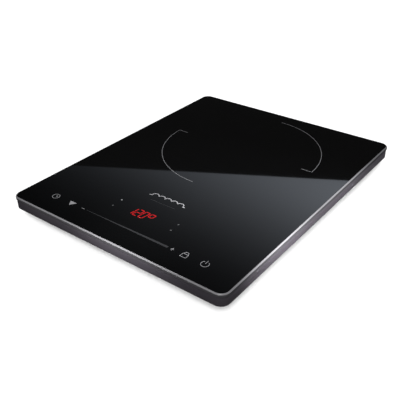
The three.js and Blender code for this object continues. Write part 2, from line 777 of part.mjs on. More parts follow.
/** The transformer of the low-voltage supply: a core round a bobbin. */
function transformer() {
  const { width, depth, height, bobbin, flange } = TRANSFORMER;
  return shaped(block([bobbin, depth, height], [0, 0], 0), {
    add: [
      block([width, depth - flange * 2, height - flange], [0, 0], flange / 2),
    ],
  });
}

/** The terminal block that the mains wires end in. */
function mainsTerminal() {
  const { width, depth, height, poles, polePitch, mouth, mouthDepth } = TERMINAL;
  const first = -(poles - 1) / 2 * polePitch;
  const cuts = [];
  for (let pole = 0; pole < poles; pole += 1) {
    const x = first + pole * polePitch;
    cuts.push(block([mouth * 2, mouthDepth, mouth * 2], [x, depth / 2 - mouthDepth / 2 + GAP], mouth / 2));
    cuts.push(rod(mouth, mouth, [x, 0], height - mouth / 2, SIDES.screw));
  }
  return shaped(block([width, depth, height], [0, 0], 0), { cut: cuts });
}

/** The flat cable that joins the two boards. */
function ribbonCable() {
  const { width, thickness, yTop, yBottom } = RIBBON;
  const low = POWER.bottom + POWER.thickness + PART_SEAT;
  const high = CONTROL.bottom - PART_SEAT;
  const bend = thickness * 2;
  const plan = polygon([
    [yTop, high], [yTop, high - thickness], [yBottom + bend, high - thickness - bend],
    [yBottom + bend, low + bend], [yBottom, low], [yBottom + thickness, low],
    [yBottom + bend + thickness, low + bend], [yBottom + bend + thickness, high - bend],
    [yTop + thickness, high],
  ]);
  return prism(plan, width, -width / 2).rotateX(QUARTER_TURN).rotateZ(QUARTER_TURN);
}

// ---- Control board ----

/** The places of the control board's four posts. */
function controlPlaces() {
  const { x, yFront, yBack } = CONTROL_POST;
  return [[-x, yFront], [x, yFront], [x, yBack], [-x, yBack]];
}

/** The digit display, with a shallow window in its face. */
function displayModule() {
  const { width, depth, height, window, windowDepth } = DISPLAY;
  return shaped(block([width, depth, height], [0, 0], 0), {
    cut: [block([width - depth + window, window, windowDepth + OVERSHOOT], [0, 0], height - windowDepth)],
  });
}

/** A round indicator lamp with a domed end. */
function indicatorLed() {
  const { radius, height } = LED;
  const dome = height - radius;
  return turned(
    [[0, 0], [radius, 0], [radius, dome], [radius * Math.SQRT1_2, dome + radius * Math.SQRT1_2], [0, height]],
    SIDES.screw,
  );
}

/** The light shield: a block with a window for the display and a hole for each lamp. */
function lightShield() {
  const { x, y, width, depth, height, wall } = SHIELD;
  const through = height + OVERSHOOT * 2;
  return shaped(block([width, depth, height], [x, y], 0), {
    cut: [
      block([DISPLAY.width + wall, DISPLAY.depth + wall, through], [DISPLAY.x, DISPLAY.y], -OVERSHOOT),
      ...LED.places.map((place) => rod(LED.radius + GAP, through, place, -OVERSHOOT, SIDES.screw)),
    ],
  });
}

/** The sounder: a round case with a sound port in its top. */
function buzzer() {
  const { radius, height, port, portDepth } = BUZZER;
  const floor = height - portDepth;
  return turned(
    [[0, 0], [radius, 0], [radius, height], [port, height], [port, floor], [0, floor]],
    SIDES.round,
  );
}

/** The film of touch electrodes under the glass, with the tail that leads down to the board. */
function touchFilm() {
  const { width, depth, thickness, tail, tailDrop, tailGap } = TOUCH_FILM;
  const edge = depth / 2;
  return shaped(block([width, depth, thickness], [0, 0], -thickness), {
    add: [
      block([tail, tailGap + thickness, thickness], [0, edge + tailGap / 2], -thickness),
      block([tail, thickness, tailDrop], [0, edge + tailGap], -tailDrop),
    ],
  });
}

// ---- Finishes ----

const FINISHES = {
  glass: { color: 0x101010, roughness: 0.06, metalness: 0 },
  seal: { color: 0x0b0b0c, roughness: 0.8, metalness: 0 },
  band: { color: 0x5a5560, roughness: 0.35, metalness: 1 },
  pan: { color: 0x17171a, roughness: 0.6, metalness: 0 },
  rubber: { color: 0x1c1c1c, roughness: 0.9, metalness: 0 },
  steel: { color: 0x9a9ca0, roughness: 0.35, metalness: 1 },
  fan: { color: 0x141416, roughness: 0.5, metalness: 0 },
  lamination: { color: 0x4a3c30, roughness: 0.6, metalness: 0.3 },
  carrier: { color: 0x2a2320, roughness: 0.7, metalness: 0 },
  copper: { color: 0xb06a3c, roughness: 0.4, metalness: 1 },
  ferrite: { color: 0x3a3a3e, roughness: 0.8, metalness: 0 },
  mica: { color: 0xb9a27c, roughness: 0.5, metalness: 0 },
  silicone: { color: 0xe4e2dc, roughness: 0.7, metalness: 0 },
  powerBoard: { color: 0x7a5a2c, roughness: 0.6, metalness: 0 },
  controlBoard: { color: 0x1d5a34, roughness: 0.5, metalness: 0 },
  aluminium: { color: 0xb4b6b9, roughness: 0.4, metalness: 1 },
  epoxy: { color: 0x18181a, roughness: 0.5, metalness: 0 },
  capacitor: { color: 0xd9b23a, roughness: 0.45, metalness: 0 },
  ceramic: { color: 0xe8e3d6, roughness: 0.4, metalness: 0 },
  sleeve: { color: 0x22324e, roughness: 0.4, metalness: 0 },
  terminal: { color: 0x2f7a4a, roughness: 0.5, metalness: 0 },
  leadSleeve: { color: 0xe9e6df, roughness: 0.8, metalness: 0 },
  ribbon: { color: 0xc9c9cc, roughness: 0.5, metalness: 0 },
  display: { color: 0x1a1112, roughness: 0.3, metalness: 0 },
  lamp: { color: 0xe9e6e2, roughness: 0.2, metalness: 0 },
  shield: { color: 0x131315, roughness: 0.7, metalness: 0 },
  film: { color: 0xa8822e, roughness: 0.4, metalness: 0 },
};

// ---- Assembly ----

const cooktop = new THREE.Group();

/** Adds one named piece to a group, at a place and a height, turned about the vertical. */
function place(name, geometry, finish, { group = cooktop, at = [0, 0], height = 0, turn = 0 } = {}) {
  const mesh = new THREE.Mesh(geometry, new THREE.MeshStandardMaterial(FINISHES[finish]));
  mesh.name = name;
  mesh.position.set(...at, height);
  mesh.rotation.z = turn;
  group.add(mesh);
  return mesh;
}

/** The name of one of several like pieces, counted from 1. */
function numbered(name, index) {
  return `${name}_${index + 1}`;
}

/** The glass plate, the frame, the pan and what is fixed to them. */
function addHousing() {
  place("glass_plate", glassPlate(), "glass");
  place("glass_seal", glassSeal(), "seal");
  place("frame_band", frameBand(), "band");
  place("base_pan", basePan(), "pan");
  cornerPlaces(FOOT.inset).forEach((at, index) => {
    place(numbered("foot", index), foot(), "rubber", { at });
  });
  const seat = LEVEL.pan + PAN_BOSS.recessDepth;
  cornerPlaces(HOUSING_SCREW.inset).forEach((at, index) => {
    const mesh = place(numbered("housing_screw", index), screw(HOUSING_SCREW), "steel", { at, height: seat });
    mesh.rotation.x = Math.PI;
  });
  place("cable_gland", cableGland(), "rubber", {
    at: [INLET.x, INLET.y - INLET.wall / 2],
    height: INLET.z,
  });
}

/** The induction coil with its carrier, ferrites, mica sheet, sensor, screws and leads. */
function addCoil() {
  const coil = new THREE.Group();
  coil.position.set(COIL.x, COIL.y, 0);
  cooktop.add(coil);
  const carrierTop = CARRIER.bottom + CARRIER.height;
  place("coil_carrier", coilCarrier(), "carrier", { group: coil, height: CARRIER.bottom });
  place("coil_winding", coilWinding(), "copper", {
    group: coil,
    height: windingMiddle() + GAP / 2,
  });
  for (let index = 0; index < FERRITE.count; index += 1) {
    place(numbered("ferrite", index), ferriteBar(), "ferrite", {
      group: coil,
      height: CARRIER.bottom - GAP - FERRITE.height,
      turn: index * FULL_TURN / FERRITE.count,
    });
  }
  place("mica_sheet", micaSheet(), "mica", { group: coil, height: carrierTop + COIL.wire * 2 + GAP * 2 });
  place("coil_sensor", coilSensor(), "silicone", {
    group: coil,
    height: CARRIER.bottom - SENSOR.flangeHeight,
  });
  supportPlaces().forEach((at, index) => {
    place(numbered("coil_screw", index), screw(SMALL_SCREW), "steel", { at, height: carrierTop });
  });
  place("coil_lead_outer", outerLead(), "leadSleeve");
  place("coil_lead_inner", innerLead(), "leadSleeve");
}

/** The cooling fan on its pads, held by two screws, with the air guide on top. */
function addFan() {
  const fan = new THREE.Group();
  const bottom = LEVEL.floor + FAN_PAD.height;
  fan.position.set(FAN.x, FAN.y, 0);
  cooktop.add(fan);
  place("fan_housing", fanHousing(), "fan", { group: fan, height: bottom });
  place("fan_rotor", fanRotor(), "fan", { group: fan });
  place("fan_stator", fanStator(), "lamination", { group: fan, height: bottom + FAN_FLOOR.height });
  place("air_duct", airDuct(), "pan", { group: fan, height: bottom + FAN.height });
  corners(FAN.holeReach, FAN.holeReach).filter((_, index) => index % 2 === 0).forEach((at, index) => {
    place(numbered("fan_screw", index), screw(FAN_SCREW), "steel", {
      group: fan,
      at,
      height: bottom + FAN.height,
    });
  });
}

/** The power board and the components on it. */
function addPowerBoard() {
  const top = POWER.bottom + POWER.thickness;
  const seat = top + PART_SEAT;
  place("power_board", board(POWER, powerPlaces()), "powerBoard", { height: POWER.bottom });
  powerPlaces().filter((_, index) => index % 2 === 0).forEach((at, index) => {
    place(numbered("power_board_screw", index), screw(POWER_SCREW), "steel", { at, height: top });
  });
  place("heatsink", heatsink(), "aluminium", { at: [HEATSINK.x, HEATSINK.y] });
  place("igbt", powerPackage(IGBT), "epoxy", { at: [IGBT.x, IGBT.y], height: top });
  place("bridge_rectifier", powerPackage(BRIDGE), "epoxy", { at: [BRIDGE.x, BRIDGE.y], height: top });
  for (const [name, size] of Object.entries(BOXES)) {
    place(name, boxCapacitor(size), "capacitor", { at: [size.x, size.y], height: seat });
  }
  place("choke", choke(), "copper", { at: [CHOKE.x, CHOKE.y], height: seat });
  place("fuse", fuse(), "ceramic", { at: [FUSE.x, FUSE.y], height: FUSE.z });
  place("smoothing_capacitor", filterCan(), "sleeve", { at: [FILTER_CAN.x, FILTER_CAN.y], height: seat });
  place("supply_transformer", transformer(), "lamination", {
    at: [TRANSFORMER.x, TRANSFORMER.y],
    height: seat,
  });
  place("mains_terminal", mainsTerminal(), "terminal", { at: [TERMINAL.x, TERMINAL.y], height: seat });
  place("ribbon_cable", ribbonCable(), "ribbon", { at: [RIBBON.x, 0] });
}

/** The control board under the glass, with its display, lamps, sounder and touch film. */
function addControlBoard() {
  const { halfWidth, y0, y1, bottom, thickness, hole } = CONTROL;
  const top = bottom + thickness;
  const plan = { x0: -halfWidth, x1: halfWidth, y0, y1, thickness, hole };
  place("control_board", board(plan, controlPlaces()), "controlBoard", { height: bottom });
  controlPlaces().filter((_, index) => index >= 2).forEach((at, index) => {
    place(numbered("control_board_screw", index), screw(SMALL_SCREW), "steel", { at, height: top });
  });
  place("display_module", displayModule(), "display", { at: [DISPLAY.x, DISPLAY.y], height: top });
  LED.places.forEach((at, index) => {
    place(numbered("indicator_led", index), indicatorLed(), "lamp", { at, height: top });
  });
  place("light_shield", lightShield(), "shield", { height: top + GAP });
  place("buzzer", buzzer(), "epoxy", { at: [BUZZER.x, BUZZER.y], height: top });
  place("touch_film", touchFilm(), "film", { at: [0, TOUCH_FILM.y], height: LEVEL.glass });
}

addHousing();
addCoil();
addFan();
addPowerBoard();
addControlBoard();

export default cooktop;
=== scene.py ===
"""An electric induction cooktop with one cooking zone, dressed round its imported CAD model.

Everything is in metres in the CAD model's frame: the origin is the middle of the outline, on the surface
that the feet stand on. The touch controls are along the short edge that faces -Y, and +Z is up.
"""

import json
import logging
import math
from collections.abc import Sequence
from dataclasses import dataclass, field
from enum import Enum

import bmesh
import bpy
from mathutils import Matrix, Vector


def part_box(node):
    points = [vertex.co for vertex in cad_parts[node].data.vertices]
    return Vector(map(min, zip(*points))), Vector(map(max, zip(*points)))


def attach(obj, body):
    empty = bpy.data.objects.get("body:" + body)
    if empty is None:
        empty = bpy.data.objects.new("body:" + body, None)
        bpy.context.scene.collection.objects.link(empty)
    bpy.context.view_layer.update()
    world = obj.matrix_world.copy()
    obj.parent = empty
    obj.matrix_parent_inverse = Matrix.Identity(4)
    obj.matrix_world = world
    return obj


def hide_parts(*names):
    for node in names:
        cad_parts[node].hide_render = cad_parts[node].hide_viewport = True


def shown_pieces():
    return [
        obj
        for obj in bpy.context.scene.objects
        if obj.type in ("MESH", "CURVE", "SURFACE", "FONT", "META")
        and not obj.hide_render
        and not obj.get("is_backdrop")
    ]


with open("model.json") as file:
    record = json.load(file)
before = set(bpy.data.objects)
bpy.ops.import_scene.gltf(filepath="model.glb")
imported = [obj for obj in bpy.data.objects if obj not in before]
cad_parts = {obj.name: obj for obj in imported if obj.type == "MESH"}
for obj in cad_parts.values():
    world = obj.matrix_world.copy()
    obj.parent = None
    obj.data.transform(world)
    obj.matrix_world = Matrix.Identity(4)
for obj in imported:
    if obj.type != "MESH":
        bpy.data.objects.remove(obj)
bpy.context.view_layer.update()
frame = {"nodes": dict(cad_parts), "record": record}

LOG = logging.getLogger("cooktop")

MM = 0.001
CORNER_SEGMENTS = 12
ROUND_STEPS = 48
SMOOTH_ANGLE = math.radians(32)
MERGE_DISTANCE = 1e-6
OVERLAP = 0.1 * MM  # how far a joined feature roots in the piece that carries it
PRINT_HEIGHT = 0.04 * MM  # from the glass to the top of the enamel
QUAD = 4  # corners of the largest face that is shaded smooth, so that wide flat faces stay flat
EASE = 0.3  # where a rounded edge's middle point stands, as a share of the edge
SLOT_END = 0.98  # the radius of a slot's ends, as a share of half its width
ARC_STEPS, FEWEST_STEPS, DOT_STEPS = 96, 4, 24  # of a whole printed ring, a short arc and a printed dot
WAVE_BAND = 0.314  # the size of one band of a wave texture whose scale is 1
MIX_FACTOR, MIX_A, MIX_B, MIX_COLOUR_A, MIX_COLOUR_B = 0, 2, 3, 6, 7  # inputs of a mix node, by number
MIXED_COLOUR = 2  # its output for a colour

Place = tuple[float, float]
Section = tuple[float, float, float]
Spot = tuple[str, Sequence[float], Sequence[float], float, float]


def linear(hex_colour: str) -> tuple[float, float, float, float]:
    """Turns an sRGB hex colour into linear red, green, blue and alpha.

    Args:
        hex_colour: Six hex digits, such as "1a1a1c".

    Returns:
        The four linear channels.
    """
    channels = [int(hex_colour[start : start + 2], 16) / 255 for start in (0, 2, 4)]
    bent = [c / 12.92 if c <= 0.04045 else ((c + 0.055) / 1.055) ** 2.4 for c in channels]
    return (*bent, 1.0)


def add_node(
    tree: bpy.types.NodeTree, kind: str, settings: dict | None = None, inputs: dict | None = None
) -> bpy.types.Node:
    """Adds a node with its settings and links.

    Args:
        tree: The node tree that it joins.
        kind: The node's type.
        settings: Its properties by name.
        inputs: For each input, by name or number: a value, an output socket, or a node, which stands for
            its first output.

    Returns:
        The new node.
    """
    node = tree.nodes.new(kind)
    for name, value in (settings or {}).items():
        setattr(node, name, value)
    for key, value in (inputs or {}).items():
        source = value.outputs[0] if isinstance(value, bpy.types.Node) else value
        if isinstance(source, bpy.types.NodeSocket):
            tree.links.new(source, node.inputs[key])
        else:
            node.inputs[key].default_value = source
    return node


def per(size_mm: float) -> float:
    """Returns the scale that makes a pattern's features about this many millimetres across."""
    return 1 / (size_mm * MM)


# ---- Finishes ----

Source = bpy.types.Node | bpy.types.NodeSocket
Pattern = tuple[Source, Source, Source]


@dataclass(frozen=True)
class Finish:
    """A surface as it was made: two tones, a range of gloss and a relief, driven by one pattern.

    The tones are sRGB hex, roughness is its least and most, and sizes are in millimetres.
    """

    name: str
    tone: str
    accent: str
    roughness: tuple[float, float]
    relief_mm: float = 0.02
    metallic: float = 0.0
    ior: float = 1.5
    bump: float = 0.5

    def pattern(self, tree: bpy.types.NodeTree, place: Source) -> Pattern:
        """Returns the tone's share, the gloss's share and the height, each from 0 to 1."""
        raise NotImplementedError

    def shade(self, shader: bpy.types.Node) -> None:
        """Sets what is the same all over the surface on the shader itself.

        Args:
            shader: The material's main shader.
        """
        shader.inputs["Metallic"].default_value = self.metallic
        if self.metallic == 0.0:
            shader.inputs["IOR"].default_value = self.ior

    def material(self) -> bpy.types.Material:
        """Builds the material when it is first asked for.

        Returns:
            The material, which later calls share.
        """
        found = bpy.data.materials.get(self.name)
        if found:
            return found
        made = bpy.data.materials.new(self.name)
        made.use_nodes = True
        tree = made.node_tree
        tree.nodes.clear()
        place = add_node(tree, "ShaderNodeTexCoord").outputs["Object"]
        tone, gloss, height = self.pattern(tree, place)
        tones = {MIX_FACTOR: tone, MIX_COLOUR_A: linear(self.tone), MIX_COLOUR_B: linear(self.accent)}
        colour = add_node(tree, "ShaderNodeMix", {"data_type": "RGBA", "clamp_factor": True}, tones)
        low, high = self.roughness
        spread = {"Value": gloss, "To Min": low, "To Max": high}
        relief = {"Height": height, "Strength": self.bump, "Distance": self.relief_mm * MM}
        shader = add_node(tree, "ShaderNodeBsdfPrincipled", inputs={
            "Base Color": colour.outputs[MIXED_COLOUR],
            "Roughness": add_node(tree, "ShaderNodeMapRange", {"clamp": True}, spread),
            "Normal": add_node(tree, "ShaderNodeBump", inputs=relief),
        })
        add_node(tree, "ShaderNodeOutputMaterial", inputs={"Surface": shader})
        self.shade(shader)
        return made


@dataclass(frozen=True)
class Moulded(Finish):
    """Moulded plastic or rubber: a fine spark-eroded grain, with slow marks from the flow of the melt."""

    grain_mm: float = 0.35
    flow_mm: float = 22.0

    def pattern(self, tree: bpy.types.NodeTree, place: Source) -> Pattern:
        """Draws flow marks for the tone, and the mould's grain for the gloss and the relief.

        Args:
            tree: The material's node tree.
            place: The coordinates that the pattern follows.

        Returns:
            The tone's share, the gloss's share and the height, each from 0 to 1.
        """
        fine = {"Vector": place, "Scale": per(self.grain_mm), "Detail": 4.0}
        slow = {"Vector": place, "Scale": per(self.flow_mm), "Detail": 2.0}
        grain = add_node(tree, "ShaderNodeTexNoise", inputs=fine)
        flow = add_node(tree, "ShaderNodeTexNoise", inputs=slow)
        tone = add_node(tree, "ShaderNodeMix", inputs={MIX_FACTOR: 0.3, MIX_A: flow, MIX_B: grain})
        gloss = add_node(tree, "ShaderNodeMix", inputs={MIX_FACTOR: 0.5, MIX_A: flow, MIX_B: grain})
        return tone, gloss, grain


@dataclass(frozen=True)
class Brushed(Finish):
    """Metal brushed with an abrasive belt: short fine scratches that all run one way."""

    stroke_mm: tuple[float, float, float] = (0.5, 0.5, 30.0)
    handling_mm: float = 30.0

    def pattern(self, tree: bpy.types.NodeTree, place: Source) -> Pattern:
        """Draws long scratches, with slow marks from handling in the gloss.

        Args:
            tree: The material's node tree.
            place: The coordinates that the pattern follows.

        Returns:
            The tone's share, the gloss's share and the height, each from 0 to 1.
        """
        stretch = {"Vector": place, "Scale": [per(size) for size in self.stroke_mm]}
        drawn = add_node(tree, "ShaderNodeMapping", inputs=stretch)
        fine = {"Vector": drawn, "Scale": 1.0, "Detail": 5.0, "Roughness": 0.65}
        slow = {"Vector": place, "Scale": per(self.handling_mm), "Detail": 2.0}
        strokes = add_node(tree, "ShaderNodeTexNoise", inputs=fine)
        handling = add_node(tree, "ShaderNodeTexNoise", inputs=slow)
        gloss = add_node(tree, "ShaderNodeMix", inputs={MIX_FACTOR: 0.5, MIX_A: strokes, MIX_B: handling})
        return strokes, gloss, strokes


@dataclass(frozen=True)
class Grained(Finish):
    """A surface of small grains or flakes: zinc spangle, pressed mica, sintered ferrite or ceramic."""

    grain_mm: float = 0.6
    cloud_mm: float = 8.0

    def pattern(self, tree: bpy.types.NodeTree, place: Source) -> Pattern:
        """Draws cells, each of its own tone, under slow clouds.

        Args:
            tree: The material's node tree.
            place: The coordinates that the pattern follows.

        Returns:
            The tone's share, the gloss's share and the height, each from 0 to 1.
        """
        fine = {"Vector": place, "Scale": per(self.grain_mm)}
        cells = add_node(tree, "ShaderNodeTexVoronoi", inputs=fine)
        each = add_node(tree, "ShaderNodeSeparateColor", inputs={"Color": cells.outputs["Color"]})
        slow = {"Vector": place, "Scale": per(self.cloud_mm), "Detail": 4.0}
        cloud = add_node(tree, "ShaderNodeTexNoise", inputs=slow)
        tone = add_node(tree, "ShaderNodeMix", inputs={MIX_FACTOR: 0.5, MIX_A: each, MIX_B: cloud})
        return tone, cloud, cells


class Across(Enum):
    """The axis that a run of strands or layers is counted along."""

    X = "X"
    Y = "Y"
    Z = "Z"
    SLANT = "DIAGONAL"


@dataclass(frozen=True)
class Strands(Finish):
    """Strands or layers side by side: twisted wire, a woven sleeve, ribbon cable or laminations."""

    pitch_mm: float = 1.0
    across: Across = Across.SLANT
    wander: float = 1.5

    def pattern(self, tree: bpy.types.NodeTree, place: Source) -> Pattern:
        """Draws rounded ridges one pitch apart, with fibres of their own tone.

        Args:
            tree: The material's node tree.
            place: The coordinates that the pattern follows.

        Returns:
            The tone's share, the gloss's share and the height, each from 0 to 1.
        """
        settings = {"wave_type": "BANDS", "bands_direction": self.across.value, "wave_profile": "SIN"}
        scale = WAVE_BAND * per(self.pitch_mm)
        bands = {"Vector": place, "Scale": scale, "Distortion": self.wander, "Detail": 2.0}
        ridges = add_node(tree, "ShaderNodeTexWave", settings, bands).outputs["Fac"]
        fine = {"Vector": place, "Scale": per(self.pitch_mm * 0.6), "Detail": 3.0}
        fibres = add_node(tree, "ShaderNodeTexNoise", inputs=fine)
        tone = add_node(tree, "ShaderNodeMix", inputs={MIX_FACTOR: 0.5, MIX_A: ridges, MIX_B: fibres})
        return tone, fibres, ridges


@dataclass(frozen=True)
class Tracked(Finish):
    """A printed circuit board: tracks under solder mask on a base whose weave shows faintly."""

    track_mm: float = 3.2
    weave_mm: float = 0.6

    def pattern(self, tree: bpy.types.NodeTree, place: Source) -> Pattern:
        """Draws straight tracks with bare laminate between them, over the weave.

        Args:
            tree: The material's node tree.
            place: The coordinates that the pattern follows.

        Returns:
            The tone's share, the gloss's share and the height, each from 0 to 1.
        """
        settings = {"offset": 0.37, "squash": 1.6, "squash_frequency": 3}
        layout = {"Vector": place, "Scale": per(self.track_mm), "Mortar Size": 0.12, "Mortar Smooth": 0.1,
                  "Brick Width": 2.3, "Row Height": 0.8}
        gaps = add_node(tree, "ShaderNodeTexBrick", settings, layout).outputs["Fac"]
        fine = {"Vector": place, "Scale": per(self.weave_mm), "Detail": 2.0}
        weave = add_node(tree, "ShaderNodeTexNoise", inputs=fine)
        tracks = add_node(tree, "ShaderNodeMath", {"operation": "SUBTRACT"}, {0: 1.0, 1: gaps})
        tone = add_node(tree, "ShaderNodeMix", inputs={MIX_FACTOR: 0.2, MIX_A: tracks, MIX_B: weave})
        return tone, weave, tracks


@dataclass(frozen=True)
class Polished(Finish):
    """Fire-polished glass-ceramic: almost flat, with a slow rolled waviness and traces of wiping."""

    wave_mm: float = 60.0
    wipe_mm: tuple[float, float, float] = (40.0, 6.0, 40.0)

    def pattern(self, tree: bpy.types.NodeTree, place: Source) -> Pattern:
        """Draws wipe marks for the tone and the gloss, and the rolled waviness for the relief.

        Args:
            tree: The material's node tree.
            place: The coordinates that the pattern follows.

        Returns:
            The tone's share, the gloss's share and the height, each from 0 to 1.
        """
        stretch = {"Vector": place, "Scale": [per(size) for size in self.wipe_mm]}
        drawn = add_node(tree, "ShaderNodeMapping", inputs=stretch)
        wipes = add_node(tree, "ShaderNodeTexNoise", inputs={"Vector": drawn, "Scale": 1.0, "Detail": 6.0})
        slow = {"Vector": place, "Scale": per(self.wave_mm), "Detail": 1.0}
        return wipes, wipes, add_node(tree, "ShaderNodeTexNoise", inputs=slow)


@dataclass(frozen=True)
class Printed(Finish):
    """Ceramic enamel, screen printed and fired: a slightly open dot from the mesh, and a soft satin top."""

    mesh_mm: float = 0.3

    def pattern(self, tree: bpy.types.NodeTree, place: Source) -> Pattern:
        """Draws the screen's dots, broken up by uneven ink.

        Args:
            tree: The material's node tree.
            place: The coordinates that the pattern follows.

        Returns:
            The tone's share, the gloss's share and the height, each from 0 to 1.
        """
        mesh = {"Vector": place, "Scale": per(self.mesh_mm), "Randomness": 0.25}
        dots = add_node(tree, "ShaderNodeTexVoronoi", inputs=mesh)
        slow = {"Vector": place, "Scale": per(self.mesh_mm * 6), "Detail": 3.0}
        ink = add_node(tree, "ShaderNodeTexNoise", inputs=slow)
        tone = add_node(tree, "ShaderNodeMix", inputs={MIX_FACTOR: 0.5, MIX_A: dots, MIX_B: ink})
        return tone, ink, dots


@dataclass(frozen=True)
class Lit(Printed):
    """A light-emitting diode behind the glass: the light is even, with a little grain from its diffuser."""

    glow: str = "ff2020"
    power: float = 1.0

    def shade(self, shader: bpy.types.Node) -> None:
        """Adds the diode's light to the printed diffuser.

        Args:
            shader: The material's main shader.
        """
        super().shade(shader)
        shader.inputs["Emission Color"].default_value = linear(self.glow)
        shader.inputs["Emission Strength"].default_value = self.power


# Polished glass-ceramic, black all through: a mirror at a low angle, with no colour of its own.
GLASS = Polished("black glass-ceramic, fire polished", "080808", "0b0b0c", (0.012, 0.03), 0.0003, bump=0.02)
# Diamond-ground glass bevel: pale partly from its own frosting and partly as a painted highlight, a light
# grey that stands in for the bright edge the bevel reflects; the lamps add soft highlights on top.
BEVEL_PAINTED_HIGHLIGHT = Brushed("glass bevel, ground, painted highlight", "7a797c", "939296", (0.35, 0.45), 0.01)
# The plate's upright side: painted shade, a dull dark tone that stands in for the shaded seam under the
# bright bevel.
SIDE_PAINTED_SHADE = Moulded("glass side, painted shade", "38373a", "454447", (0.5, 0.65), 0.01)
# Black ceramic coat under the glass: dead matt.
UNDERCOAT = Moulded("black ceramic coat, sprayed", "0d0d0e", "151517", (0.7, 0.85), 0.01)
# Screen-printed pale enamel: satin, and a little darker where the dots are open.
PALE_ENAMEL = Printed("pale grey enamel, screen printed", "8f8f92", "bcbcc0", (0.35, 0.5), 0.01)
# The same enamel with fewer dots, for lines that are meant to stand back.
GREY_ENAMEL = Printed("mid grey enamel, screen printed", "2c2c2e", "404043", (0.35, 0.5), 0.01)
# Red diodes behind a moulded lens: an even, saturated glow.
RED_LIGHT = Lit(
    "red diode segment, moulded lens", "400808", "601010", (0.3, 0.5), 0.01, glow="ff1d24", power=0.6
)
# White diodes: small bright points.
WHITE_LIGHT = Lit(
    "white diode lamp, moulded lens", "707072", "8c8c8e", (0.3, 0.5), 0.01, glow="e8ecf0", power=0.2
)
# The same diodes standing by: grey points that are only just seen.
DIM_LIGHT = Lit(
    "white diode lamp, standing by", "3c3c3e", "4c4c4e", (0.3, 0.5), 0.01, glow="e8ecf0", power=0.05
)

